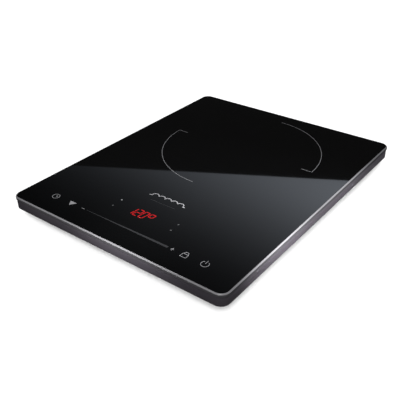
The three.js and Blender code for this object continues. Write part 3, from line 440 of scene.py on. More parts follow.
FINISHES: dict[str, Finish] = {
    # Silicone bead: black and soft, dull even at the edges.
    "silicone_seal": Moulded(
        "black silicone, extruded", "0e0e0f", "18181a", (0.6, 0.75), 0.02, grain_mm=0.5
    ),
    # Anodised sheet brushed upwards: a dark purple-grey sheen with fine upright hatching.
    "brushed_frame": Brushed(
        "aluminium, brushed and anodised dark grey", "38343a", "4a464d", (0.45, 0.6), 0.03, metallic=0.25,
        bump=0.6,
    ),
    # Glass-filled polyamide: black, with an even spark-eroded grain.
    "pan_moulding": Moulded("black polyamide, spark-eroded mould", "161617", "212123", (0.5, 0.68), 0.03),
    # Moulded rubber: black and a little chalky, with no highlight to speak of.
    "gland_rubber": Moulded("black rubber, moulded bush", "131314", "1d1d1e", (0.6, 0.8), 0.03),
    # Thermoplastic rubber: a warm dark grey that takes dust.
    "foot_rubber": Moulded(
        "dark grey rubber, moulded feet", "1f1f20", "303031", (0.7, 0.9), 0.04, grain_mm=0.6
    ),
    # Bright zinc: small crystals, blue-white where they face the light.
    "zinc_steel": Grained("steel, zinc plated", "9a9da1", "c9ccd0", (0.22, 0.4), 0.01, metallic=1.0),
    # Pressed phenolic: a brown that is almost black, and dry.
    "carrier_moulding": Moulded("dark brown phenolic, pressed", "2e2723", "3d352f", (0.5, 0.7), 0.03),
    # Enamelled litz: copper strands twisted together, amber in the hollows.
    "litz_wire": Strands(
        "copper litz, enamelled and twisted", "8a4318", "d08848", (0.25, 0.42), 0.25, metallic=1.0,
        pitch_mm=0.9,
    ),
    # Sintered ferrite: slate grey, with fine dark grains and a dull polish.
    "ferrite": Grained(
        "manganese-zinc ferrite, sintered", "2b2b2e", "414145", (0.45, 0.65), 0.02, grain_mm=0.4
    ),
    # Pressed mica: straw coloured, with flakes that glint.
    "mica": Grained(
        "mica, pressed flakes", "a8926a", "d2c19a", (0.28, 0.5), 0.02, grain_mm=1.8, cloud_mm=14.0
    ),
    # Moulded white silicone: milky, with a soft skin.
    "sensor_silicone": Moulded("white silicone, moulded", "cfccc4", "e6e4de", (0.45, 0.6), 0.02),
    # Woven glass sleeve: off-white yarns crossing on the slant.
    "lead_sleeve": Strands(
        "glass fibre, braided sleeve", "b9b39f", "eae6d8", (0.55, 0.8), 0.15, pitch_mm=0.7
    ),
    # Moulded PBT: black, with the low even sheen of a fan blade.
    "fan_moulding": Moulded("black PBT, moulded fan", "101011", "1b1b1d", (0.32, 0.45), 0.02, grain_mm=0.5),
    # Stacked electrical steel: warm grey layers that show as fine level lines.
    "stator_steel": Strands(
        "silicon steel, stacked laminations", "4d4a46", "7b766f", (0.3, 0.5), 0.08, metallic=0.8,
        pitch_mm=0.5, across=Across.Z, wander=0.1,
    ),
    # Phenolic paper board: tan, with darker lanes where the copper is etched away.
    "power_laminate": Tracked("phenolic paper laminate, etched", "8a6330", "a9803f", (0.4, 0.55), 0.03),
    # Extruded aluminium: pale and bright, with drawing lines along the fins.
    "heatsink_aluminium": Brushed(
        "aluminium, extruded", "b4b5b8", "d4d5d8", (0.25, 0.4), 0.02, metallic=1.0,
        stroke_mm=(0.6, 40.0, 0.6),
    ),
    # Moulded epoxy: flat black packages with a fine matt face.
    "epoxy_package": Moulded("black epoxy, transfer moulded", "191919", "272728", (0.45, 0.6), 0.02),
    # Filled polyester boxes: a strong warm yellow, half glossy.
    "capacitor_box": Moulded("yellow polyester box, filled", "b98d14", "d9ab26", (0.25, 0.4), 0.02),
    # Enamelled copper on a ring: thick bright ridges with amber between them.
    "choke_copper": Strands(
        "copper wire, wound on a ring", "8f4a1e", "d28a4c", (0.22, 0.38), 0.4, metallic=1.0, pitch_mm=1.4
    ),
    # Glazed ceramic tube: warm white and glossy.
    "fuse_ceramic": Grained(
        "white ceramic tube, glazed", "d4d0c6", "eeebe4", (0.15, 0.35), 0.01, grain_mm=0.9
    ),
    # Shrunk PVC: dark blue, tight and shiny.
    "capacitor_sleeve": Moulded("dark blue PVC sleeve, heat shrunk", "1c2740", "2c3a5c", (0.2, 0.35), 0.02),
    # Ferrite core round a taped winding: dark and yellow layers in level bands.
    "transformer_core": Strands(
        "ferrite core, taped winding", "3a352c", "d0b24a", (0.3, 0.5), 0.1, pitch_mm=4.0, across=Across.Z,
        wander=0.2,
    ),
    # Moulded polyamide: a clear leaf green with a low gloss.
    "terminal_moulding": Moulded(
        "green polyamide terminal, moulded", "1e6b35", "2c8a48", (0.35, 0.5), 0.02
    ),
    # Ribbon cable: grey conductors side by side, each a rounded ridge.
    "ribbon_pvc": Strands(
        "grey PVC ribbon, laid side by side", "8f9093", "b7b8bb", (0.4, 0.55), 0.3, pitch_mm=1.27,
        across=Across.X, wander=0.0,
    ),
    # Solder mask: glassy green, lighter over the copper tracks.
    "control_laminate": Tracked(
        "green solder mask on glass laminate", "0d4a24", "1c7a3e", (0.25, 0.4), 0.03
    ),
    # Display case with a red filter: almost black, with a red depth and a smooth face.
    "display_case": Moulded("black display case, red filter", "1a0d0d", "2c1212", (0.12, 0.25), 0.01),
    # Cast epoxy: a pale, wet-looking bead.
    "lamp_epoxy": Moulded("clear epoxy lamp, cast", "c5c2ba", "dedbd4", (0.06, 0.16), 0.01, grain_mm=0.8),
    # Moulded ABS: a flat black that keeps the lamps' light apart.
    "shield_moulding": Moulded("black ABS light shield, moulded", "0f0f10", "18181a", (0.6, 0.75), 0.02),
    # Polyimide film: glossy amber, with brown electrode fields.
    "film_polyimide": Tracked(
        "amber polyimide film, printed electrodes", "9a6218", "5b3a12", (0.18, 0.3), 0.02, track_mm=6.0
    ),
}


# ---- Shaping ----


@dataclass(frozen=True)
class Extent:
    """The box of a CAD node at rest."""

    low: Vector
    high: Vector

    @classmethod
    def of(cls, node: str) -> "Extent":
        """Reads a node's box from the frame."""
        return cls(*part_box(node))

    @property
    def size(self) -> Vector:
        """The box's width, depth and height."""
        return self.high - self.low

    @property
    def middle(self) -> Vector:
        """The box's centre."""
        return (self.low + self.high) / 2


BODY = Extent.of("glass_plate")


def rounded_face(
    bm: bmesh.types.BMesh, size: Place, corner: float, height: float, centre: Place = (0.0, 0.0)
) -> bmesh.types.BMFace:
    """Adds a level rectangle with rounded corners.

    Args:
        bm: The mesh that it joins.
        size: Its width and depth.
        corner: The radius of its corners.
        height: Its height.
        centre: The middle of its plan.

    Returns:
        The face.
    """
    before = set(bm.faces)
    verts = bmesh.ops.create_grid(bm, x_segments=1, y_segments=1, size=0.5)["verts"]
    bmesh.ops.scale(bm, vec=(*size, 1), verts=verts)
    bmesh.ops.translate(bm, vec=(*centre, height), verts=verts)
    bmesh.ops.bevel(
        bm, geom=verts, offset=corner, offset_type="OFFSET", affect="VERTICES", segments=CORNER_SEGMENTS,
        profile=0.5, material=-1,
    )
    return next(face for face in bm.faces if face not in before)


def outline_face(bm: bmesh.types.BMesh, section: Section) -> bmesh.types.BMFace:
    """Adds the body's outline at one height, from its inset from the plate, corner radius and height."""
    inset, corner, height = section
    return rounded_face(bm, (BODY.size.x - inset * 2, BODY.size.y - inset * 2), corner, height)


def loft(bm: bmesh.types.BMesh, faces: Sequence[bmesh.types.BMFace], closed: bool = False) -> None:
    """Joins rounded faces with walls, in order.

    Args:
        bm: The mesh that they are in.
        faces: The faces, whose first and last stay as caps.
        closed: Joins the last to the first instead, so that the walls make a ring.
    """
    loops = [list(face.edges) for face in faces]
    spare = faces if closed else faces[1:-1]
    bmesh.ops.delete(bm, geom=list(spare), context="FACES_ONLY")
    pairs = list(zip(loops, loops[1:]))
    if closed:
        pairs.append((loops[-1], loops[0]))
    for lower, upper in pairs:
        bmesh.ops.bridge_loops(bm, edges=lower + upper)


def ring_of(
    bm: bmesh.types.BMesh, profile: Sequence[Place], centre: Place = (0.0, 0.0)
) -> list[bmesh.types.BMVert]:
    """Turns a profile of radius and height pairs once round an upright axis.

    Args:
        bm: The mesh that the shape joins.
        profile: The pairs, from one end to the other.
        centre: Where the axis stands.

    Returns:
        The shape's vertices.
    """
    before = set(bm.verts)
    verts = [bm.verts.new((centre[0] + radius, centre[1], height)) for radius, height in profile]
    edges = [bm.edges.new(pair) for pair in zip(verts, verts[1:])]
    bmesh.ops.spin(
        bm, geom=verts + edges, cent=(*centre, 0), axis=(0, 0, 1), dvec=(0, 0, 0), angle=math.tau,
        steps=ROUND_STEPS, use_merge=True, use_duplicate=False,
    )
    made = [vert for vert in bm.verts if vert not in before]
    bmesh.ops.remove_doubles(bm, verts=made, dist=MERGE_DISTANCE)
    return [vert for vert in bm.verts if vert not in before]


def raise_faces(bm: bmesh.types.BMesh, rise: float) -> None:
    """Gives a mesh's flat faces a thickness by extruding them all upwards.

    Args:
        bm: The mesh, which holds nothing but flat faces.
        rise: The thickness.
    """
    made = bmesh.ops.extrude_face_region(bm, geom=list(bm.faces))["geom"]
    raised = [item for item in made if isinstance(item, bmesh.types.BMVert)]
    bmesh.ops.translate(bm, vec=(0, 0, rise), verts=raised)


def as_piece(bm: bmesh.types.BMesh, name: str) -> bpy.types.Object:
    """Makes an object of a mesh, with its doubles merged and its faces outwards.

    Args:
        bm: The mesh, which is freed.
        name: The piece's name.

    Returns:
        The object, at the origin.
    """
    bmesh.ops.remove_doubles(bm, verts=list(bm.verts), dist=MERGE_DISTANCE)
    bmesh.ops.recalc_face_normals(bm, faces=list(bm.faces))
    mesh = bpy.data.meshes.new(name)
    bm.to_mesh(mesh)
    bm.free()
    piece = bpy.data.objects.new(name, mesh)
    bpy.context.scene.collection.objects.link(piece)
    return piece


class Working(Enum):
    """How closed shapes are worked into a piece."""

    JOIN = "UNION"
    CUT = "DIFFERENCE"
    TRIM = "INTERSECT"


def combine(piece: bpy.types.Object, tool: bmesh.types.BMesh, working: Working) -> None:
    """Joins closed shapes to a piece, cuts them out of it or trims it to them.

    Args:
        piece: The piece, whose mesh is replaced.
        tool: The shapes, which are used up.
        working: Which of the three.
    """
    cutter = as_piece(tool, "tool")
    modifier = piece.modifiers.new("combine", "BOOLEAN")
    modifier.object = cutter
    modifier.operation = working.value
    modifier.solver = "MANIFOLD"
    evaluated = piece.evaluated_get(bpy.context.evaluated_depsgraph_get())
    worked = bpy.data.meshes.new_from_object(evaluated)
    piece.modifiers.clear()
    worked.materials.clear()
    piece.data = worked
    bpy.data.objects.remove(cutter)


@dataclass
class Part:
    """A sub-assembly's shared way of finishing its pieces."""

    body: str = "body"

    def build(self) -> None:
        """Builds the sub-assembly's pieces."""
        raise NotImplementedError

    def settle(
        self,
        piece: bpy.types.Object,
        finishes: Sequence[Finish],
        slot: str = "",
        replaces: Sequence[str] = (),
    ) -> None:
        """Shades a piece smooth, dresses it and lets it ride on its body.

        Args:
            piece: The finished mesh.
            finishes: One for each of its material slots.
            slot: The record's slot of its finish; not used.
            replaces: The CAD nodes that it stands for.
        """
        piece.data.shade_smooth()
        piece.data.set_sharp_from_angle(angle=SMOOTH_ANGLE)
        for polygon in piece.data.polygons:
            polygon.use_smooth = len(polygon.vertices) <= QUAD
        if not piece.data.materials:
            for finish in finishes:
                piece.data.materials.append(finish.material())
        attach(piece, self.body)
        if replaces:
            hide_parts(*replaces)
        LOG.info("%s: %d faces", piece.name, len(piece.data.polygons))


# ---- Top ----


@dataclass
class GlassTop(Part):
    """The glass-ceramic plate with its ground edge, and the bead that it is bedded on."""

    corner: float = 10 * MM
    bevel: float = 1.2 * MM
    edge: float = 0.4 * MM
    arris: float = 0.12 * MM
    arris_ease: float = 0.4
    # The least upward lean of a face's normal for the polished top, for the bevel and for the side; the
    # edge's tones follow it, so the bevel that faces up takes the painted highlight and the upright side
    # the painted shade.
    leans: tuple[float, float, float] = (0.99, 0.3, -0.3)
    seal_inset: float = 1.4 * MM
    seal_corner: float = 9.7 * MM
    seal_width: float = 6 * MM
    seal_round: float = 0.2 * MM

    def build(self) -> None:
        """Builds the plate and the bead."""
        self.build_plate()
        self.build_seal()

    def build_plate(self) -> None:
        """Builds the plate, with its print's height left free on top."""
        top = BODY.high.z - PRINT_HEIGHT
        shoulder = top - self.bevel
        steps = [
            (self.edge, BODY.low.z),
            (0.0, BODY.low.z + self.edge),
            (0.0, shoulder - self.arris),
            (self.arris * self.arris_ease, shoulder + self.arris),
            (self.bevel - self.arris, top - self.arris * self.arris_ease),
            (self.bevel + self.arris, top),
        ]
        bm = bmesh.new()
        loft(bm, [outline_face(bm, (inset, self.corner - inset, height)) for inset, height in steps])
        plate = as_piece(bm, "glass_top")
        self.dress(plate)

    def dress(self, plate: bpy.types.Object) -> None:
        """Gives the plate a polished top, a bevel lightened by a painted highlight, a side darkened by
        painted shade and a coated underside.

        Args:
            plate: The finished mesh.
        """
        for finish in (GLASS, BEVEL_PAINTED_HIGHLIGHT, SIDE_PAINTED_SHADE, UNDERCOAT):
            plate.data.materials.append(finish.material())
        # Each face takes its tone by how it leans: painted highlight on the upward bevel, painted shade on
        # the upright side.
        for polygon in plate.data.polygons:
            polygon.material_index = sum(polygon.normal.z <= lean for lean in self.leans)
        self.settle(plate, (), "black_glass", ["glass_plate"])

    def build_seal(self) -> None:
        """Builds the silicone bead, a little rounded where it is squeezed out."""
        seal = Extent.of("glass_seal")
        outer, inner = self.seal_inset, self.seal_inset + self.seal_width
        outer_soft, inner_soft = outer + self.seal_round, inner - self.seal_round
        steps = [
            (outer_soft, seal.low.z), (outer, seal.middle.z), (outer_soft, seal.high.z),
            (inner_soft, seal.high.z), (inner, seal.middle.z), (inner_soft, seal.low.z),
        ]
        bm = bmesh.new()
        corner = self.seal_corner + self.seal_inset
        loft(bm, [outline_face(bm, (inset, corner - inset, z)) for inset, z in steps], closed=True)
        bead = as_piece(bm, "silicone_bead")
        self.settle(bead, [FINISHES["silicone_seal"]], "silicone_seal", ["glass_seal"])


@dataclass
class Stroke:
    """Draws flat figures on the glass, and gives them the enamel's thickness."""

    bm: bmesh.types.BMesh = field(default_factory=bmesh.new)
    base: float = BODY.high.z - PRINT_HEIGHT

    def arc(self, centre: Place, radius: float, width: float, start: float, end: float) -> None:
        """Draws part of a ring, from one angle to another in degrees, anticlockwise.

        Args:
            centre: The ring's middle.
            radius: The radius of the stroke's middle line.
            width: The stroke's width.
            start: The angle that it starts at.
            end: The angle that it ends at.
        """
        sweep = abs(end - start)
        steps = max(FEWEST_STEPS, round(sweep / 360 * ARC_STEPS))
        turn = math.radians(start)
        verts = []
        for reach in (radius - width / 2, radius + width / 2):
            place = (centre[0] + reach * math.cos(turn), centre[1] + reach * math.sin(turn), self.base)
            verts.append(self.bm.verts.new(place))
        edge = self.bm.edges.new(verts)
        bmesh.ops.spin(
            self.bm, geom=[*verts, edge], cent=(*centre, self.base), axis=(0, 0, 1), dvec=(0, 0, 0),
            angle=math.radians(end - start), steps=steps, use_merge=sweep >= 360, use_duplicate=False,
        )

    def bar(self, start: Place, end: Place, width: float, end_width: float | None = None) -> None:
        """Draws a straight stroke, which may grow from one width to another.

        Args:
            start: The middle of its first end.
            end: The middle of its other end.
            width: Its width at the first end.
            end_width: Its width at the other end, where that differs.
        """
        along = Vector(end) - Vector(start)
        across = Vector((-along.y, along.x)).normalized()
        half, half_end = width / 2, (width if end_width is None else end_width) / 2
        points = [
            Vector(start) - across * half, Vector(end) - across * half_end,
            Vector(end) + across * half_end, Vector(start) + across * half,
        ]
        self.area(points)

    def area(self, points: Sequence[Sequence[float]]) -> None:
        """Fills a figure through corner points."""
        verts = [self.bm.verts.new((point[0], point[1], self.base)) for point in points]
        bmesh.ops.contextual_create(self.bm, geom=verts)

    def dot(self, centre: Place, radius: float) -> None:
        """Fills a circle."""
        place = Matrix.Translation((*centre, self.base))
        bmesh.ops.create_circle(self.bm, cap_ends=True, segments=DOT_STEPS, radius=radius, matrix=place)

    def lift(self, name: str) -> bpy.types.Object:
        """Ends the drawing: gives it thickness and makes it a piece.

        Args:
            name: The piece's name.

        Returns:
            The piece.
        """
        bmesh.ops.remove_doubles(self.bm, verts=list(self.bm.verts), dist=MERGE_DISTANCE)
        raise_faces(self.bm, PRINT_HEIGHT)
        return as_piece(self.bm, name)


@dataclass
class ZonePrint(Part):
    """The two quarter rings with their ticks that mark the cooking zone."""

    centre: Place = (0.0, 58 * MM)
    radius: float = 96 * MM
    width: float = 0.42 * MM
    tick: float = 13.5 * MM

    def build(self) -> None:
        """Draws both quarters as one print."""
        pen = Stroke()
        for start, end, tick_at in ((180, 270, 180), (0, 90, 0)):
            pen.arc(self.centre, self.radius, self.width, start, end)
            turn = math.radians(tick_at)
            out = Vector((math.cos(turn), math.sin(turn)))
            inner, outer = self.radius - self.tick, self.radius - self.width / 2
            middle = Vector(self.centre)
            pen.bar(middle + out * inner, middle + out * outer, self.width)
        self.settle(pen.lift("zone_print"), [PALE_ENAMEL])


class Glyph(Enum):
    """The touch keys' symbols."""

    TIMER = "timer"
    FUNCTION = "function"
    LESS = "less"
    MORE = "more"
    LOCK = "lock"
    POWER = "power"


@dataclass
class KeyPrint(Part):
    """The printed row of touch keys along the front edge, with the slider's wedge between two of them."""

    row: float = -148 * MM
    line: float = 0.55 * MM
    ring: float = 4.0 * MM
    places: dict[Glyph, float] = field(default_factory=lambda: {
        Glyph.TIMER: -99.3 * MM,
        Glyph.FUNCTION: -75 * MM,
        Glyph.LESS: -57.7 * MM,
        Glyph.MORE: 62 * MM,
        Glyph.LOCK: 77 * MM,
        Glyph.POWER: 100 * MM,
    })
    slider: Place = (-53 * MM, 56.5 * MM)
    slider_width: Place = (0.35 * MM, 2.7 * MM)

    def build(self) -> None:
        """Draws each symbol as its own print, and the slider."""
        drawings = {
            Glyph.TIMER: self.draw_timer,
            Glyph.FUNCTION: self.draw_function,
            Glyph.LESS: self.draw_less,
            Glyph.MORE: self.draw_more,
            Glyph.LOCK: self.draw_lock,
            Glyph.POWER: self.draw_power,
        }
        for glyph, draw in drawings.items():
            pen = Stroke()
            draw(pen, self.places[glyph])
            self.settle(pen.lift(f"key_{glyph.value}"), [PALE_ENAMEL])
        pen = Stroke()
        start, end = self.slider
        pen.bar((start, self.row), (end, self.row), *self.slider_width)
        self.settle(pen.lift("slider_wedge"), [GREY_ENAMEL])

    def draw_timer(self, pen: Stroke, x: float) -> None:
        """Draws a clock face with two hands.

        Args:
            pen: The pen that draws it.
            x: The middle of the key along the row.
        """
        pen.arc((x, self.row), self.ring, self.line, 0, 360)
        minute, hour = self.ring * 0.62, self.ring * 0.55
        pen.bar((x, self.row), (x, self.row + minute), self.line)
        pen.bar((x - self.line / 2, self.row), (x + hour, self.row), self.line)

    def draw_function(self, pen: Stroke, x: float) -> None:
        """Draws a filled triangle that points at the user."""
        half, top, tip = 4.6 * MM, 2.9 * MM, 3.9 * MM
        pen.area([(x - half, self.row + top), (x, self.row - tip), (x + half, self.row + top)])

    def draw_less(self, pen: Stroke, x: float) -> None:
        """Draws a minus sign."""
        half = 1.9 * MM
        pen.bar((x - half, self.row), (x + half, self.row), self.line)

    def draw_more(self, pen: Stroke, x: float) -> None:
        """Draws a plus sign.

        Args:
            pen: The pen that draws it.
            x: The middle of the key along the row.
        """
        half = 2.1 * MM
        self.draw_less(pen, x)
        for side in (-1, 1):
            pen.bar((x, self.row + side * self.line / 2), (x, self.row + side * half), self.line)

    def draw_lock(self, pen: Stroke, x: float) -> None:
        """Draws an open padlock's outline.

        Args:
            pen: The pen that draws it.
            x: The middle of the key along the row.
        """
        half, low, high, shackle = 3.5 * MM, 3.9 * MM, 1.5 * MM, 2.2 * MM
        bottom, top = self.row - low, self.row + high
        inner = half - self.line
        pen.bar((x - half, bottom + self.line / 2), (x + half, bottom + self.line / 2), self.line)
        pen.bar((x - half, top - self.line / 2), (x + half, top - self.line / 2), self.line)
        for side in (-1, 1):
            middle = x + side * (half + inner) / 2
            pen.bar((middle, bottom + self.line), (middle, top - self.line), self.line)
        pen.arc((x, top + self.line), shackle, self.line, 0, 180)
        pen.bar((x + shackle, top), (x + shackle, top + self.line), self.line)

    def draw_power(self, pen: Stroke, x: float) -> None:
        """Draws the standby symbol: an open ring with a stroke in its gap.

        Args:
            pen: The pen that draws it.
            x: The middle of the key along the row.
        """
        gap_left, gap_right = 125, 415
        low, high = self.ring * 0.15, self.ring * 1.35
        pen.arc((x, self.row), self.ring, self.line, gap_left, gap_right)
        pen.bar((x, self.row + low), (x, self.row + high), self.line)


@dataclass
class CoilSign(Part):
    """A generic sign for an induction coil, above the display: a row of loops on a thin base line."""

    centre: Place = (3 * MM, -85 * MM)
    loops: int = 5
    loop: float = 4.2 * MM
    line: float = 1.1 * MM
    lead: float = 3.5 * MM
    base_drop: float = 8.2 * MM
    base_line: float = 0.45 * MM
    base_share: float = 0.8  # its length as a share of the row of loops

    def build(self) -> None:
        """Draws the loops with a lead at each end, and the base line."""
        x, y = self.centre
        pen = Stroke()
        first = x - (self.loops - 1) * self.loop
        for index in range(self.loops):
            pen.arc((first + index * self.loop * 2, y), self.loop, self.line, 0, 180)
        for side in (-1, 1):
            near = x + side * (self.loops * self.loop - self.line / 2)
            pen.bar((near, y - self.line / 2), (near + side * self.lead, y - self.line / 2), self.line)
        self.settle(pen.lift("coil_sign"), [PALE_ENAMEL])
        pen = Stroke()
        reach = self.loops * self.loop * self.base_share
        pen.bar((x - reach, y - self.base_drop), (x + reach, y - self.base_drop), self.base_line)
        self.settle(pen.lift("coil_sign_base"), [GREY_ENAMEL])


class Digit(Enum):
    """Figures of a seven-segment display, by the segments that are lit."""

    ONE = "bc"
    TWO = "abged"
    ZERO = "abcdef"
    DEGREE = "abgf"


@dataclass
class Readout(Part):
    """The display's lit figures and the small lamps beside it, as they show through the glass."""

    figures: tuple[Digit, ...] = (Digit.ONE, Digit.TWO, Digit.ZERO, Digit.DEGREE)
    centre: Place = (-2.0 * MM, -120.3 * MM)
    height: float = 11.5 * MM
    width: float = 5.3 * MM
    pitch: float = 7.7 * MM
    segment: float = 1.0 * MM
    segment_gap: float = 0.12 * MM
    slant: float = 0.2
    lamp_radius: float = 0.9 * MM
    lamps: tuple[Finish, ...] = (WHITE_LIGHT, DIM_LIGHT, DIM_LIGHT, DIM_LIGHT)

    def build(self) -> None:
        """Draws the figures and the lamps."""
        pen = Stroke()
        first = self.centre[0] - (len(self.figures) - 1) * self.pitch / 2
        for index, figure in enumerate(self.figures):
            self.draw_figure(pen, figure, first + index * self.pitch)
        self.settle(pen.lift("display_figures"), [RED_LIGHT])
        for index, finish in enumerate(self.lamps, 1):
            middle = Extent.of(f"indicator_led_{index}").middle
            pen = Stroke()
            pen.dot((middle.x, middle.y), self.lamp_radius)
            self.settle(pen.lift(f"indicator_window_{index}"), [finish])

    def draw_figure(self, pen: Stroke, figure: Digit, x: float) -> None:
        """Draws one figure's lit segments, leaning to the right.

        Args:
            pen: The pen that draws it.
            figure: Which figure it is.
            x: The middle of the figure along the row.
        """
        half_width, half_height = self.width / 2, self.height / 2
        corners = {
            "a": ((-half_width, half_height), (half_width, half_height)),
            "b": ((half_width, half_height), (half_width, 0)),
            "c": ((half_width, 0), (half_width, -half_height)),
            "d": ((half_width, -half_height), (-half_width, -half_height)),
            "e": ((-half_width, -half_height), (-half_width, 0)),
            "f": ((-half_width, 0), (-half_width, half_height)),
            "g": ((-half_width, 0), (half_width, 0)),
        }
        for name in figure.value:
            self.draw_segment(pen, x, *corners[name])

    def draw_segment(self, pen: Stroke, x: float, start: Place, end: Place) -> None:
        """Draws one segment as a bar with pointed ends.

        Args:
            pen: The pen that draws it.
            x: The middle of the figure along the row.
            start: One end, from the figure's middle.
            end: The other end.
        """
        along = (Vector(end) - Vector(start)).normalized()
        across = Vector((-along.y, along.x)) * self.segment / 2
        tip, tail = Vector(start) + along * self.segment_gap, Vector(end) - along * self.segment_gap
        shoulder = along * self.segment / 2
        outline = [
            tip, tip + shoulder - across, tail - shoulder - across,
            tail, tail - shoulder + across, tip + shoulder + across,
        ]
        pen.area([(x + p.x + p.y * self.slant, self.centre[1] + p.y) for p in outline])


# ---- Housing ----


@dataclass
class FrameBand(Part):
    """The metal frame round the body: a thin wall, a flange under the glass and four screw posts."""

    inset: float = 0.5 * MM
    corner: float = 10 * MM
    skirt: float = 18.4 * MM
    wall: float = 1.6 * MM
    flange: float = 9 * MM
    flange_height: float = 1.6 * MM
    chamfer: float = 0.6 * MM
    roll: float = 0.4 * MM
    post: float = 3.6 * MM
    post_floor: float = 14.3 * MM

    def build(self) -> None:
        """Builds the ring as one wall, then joins the posts."""
        band = Extent.of("frame_band")
        under = band.high.z - self.flange_height
        inner, opening = self.inset + self.wall, self.inset + self.wall + self.flange
        steps = [
            (self.inset + self.chamfer, self.skirt),
            (self.inset + self.chamfer * EASE, self.skirt + self.chamfer * EASE),
            (self.inset, self.skirt + self.chamfer),
            (self.inset, band.high.z - self.roll),
            (self.inset + self.roll * EASE, band.high.z - self.roll * EASE),
            (self.inset + self.roll, band.high.z),
            (opening, band.high.z),
            (opening, under),
            (inner, under),
            (inner, self.skirt),
        ]
        bm = bmesh.new()
        outlines = []
        for inset, height in steps:
            corner = max(self.corner + self.inset - inset, self.wall)
            outlines.append(outline_face(bm, (inset, corner, height)))
        loft(bm, outlines, closed=True)
        piece = as_piece(bm, "metal_frame")
        root = under + OVERLAP
        profile = [
            (0.0, self.post_floor), (self.post - self.roll, self.post_floor),
            (self.post, self.post_floor + self.roll), (self.post, root), (0.0, root),
        ]
        posts = bmesh.new()
        for index in range(1, 5):
            screw = Extent.of(f"housing_screw_{index}").middle
            ring_of(posts, profile, (screw.x, screw.y))
        combine(piece, posts, Working.JOIN)
        self.settle(piece, [FINISHES["brushed_frame"]], "brushed_frame", ["frame_band"])


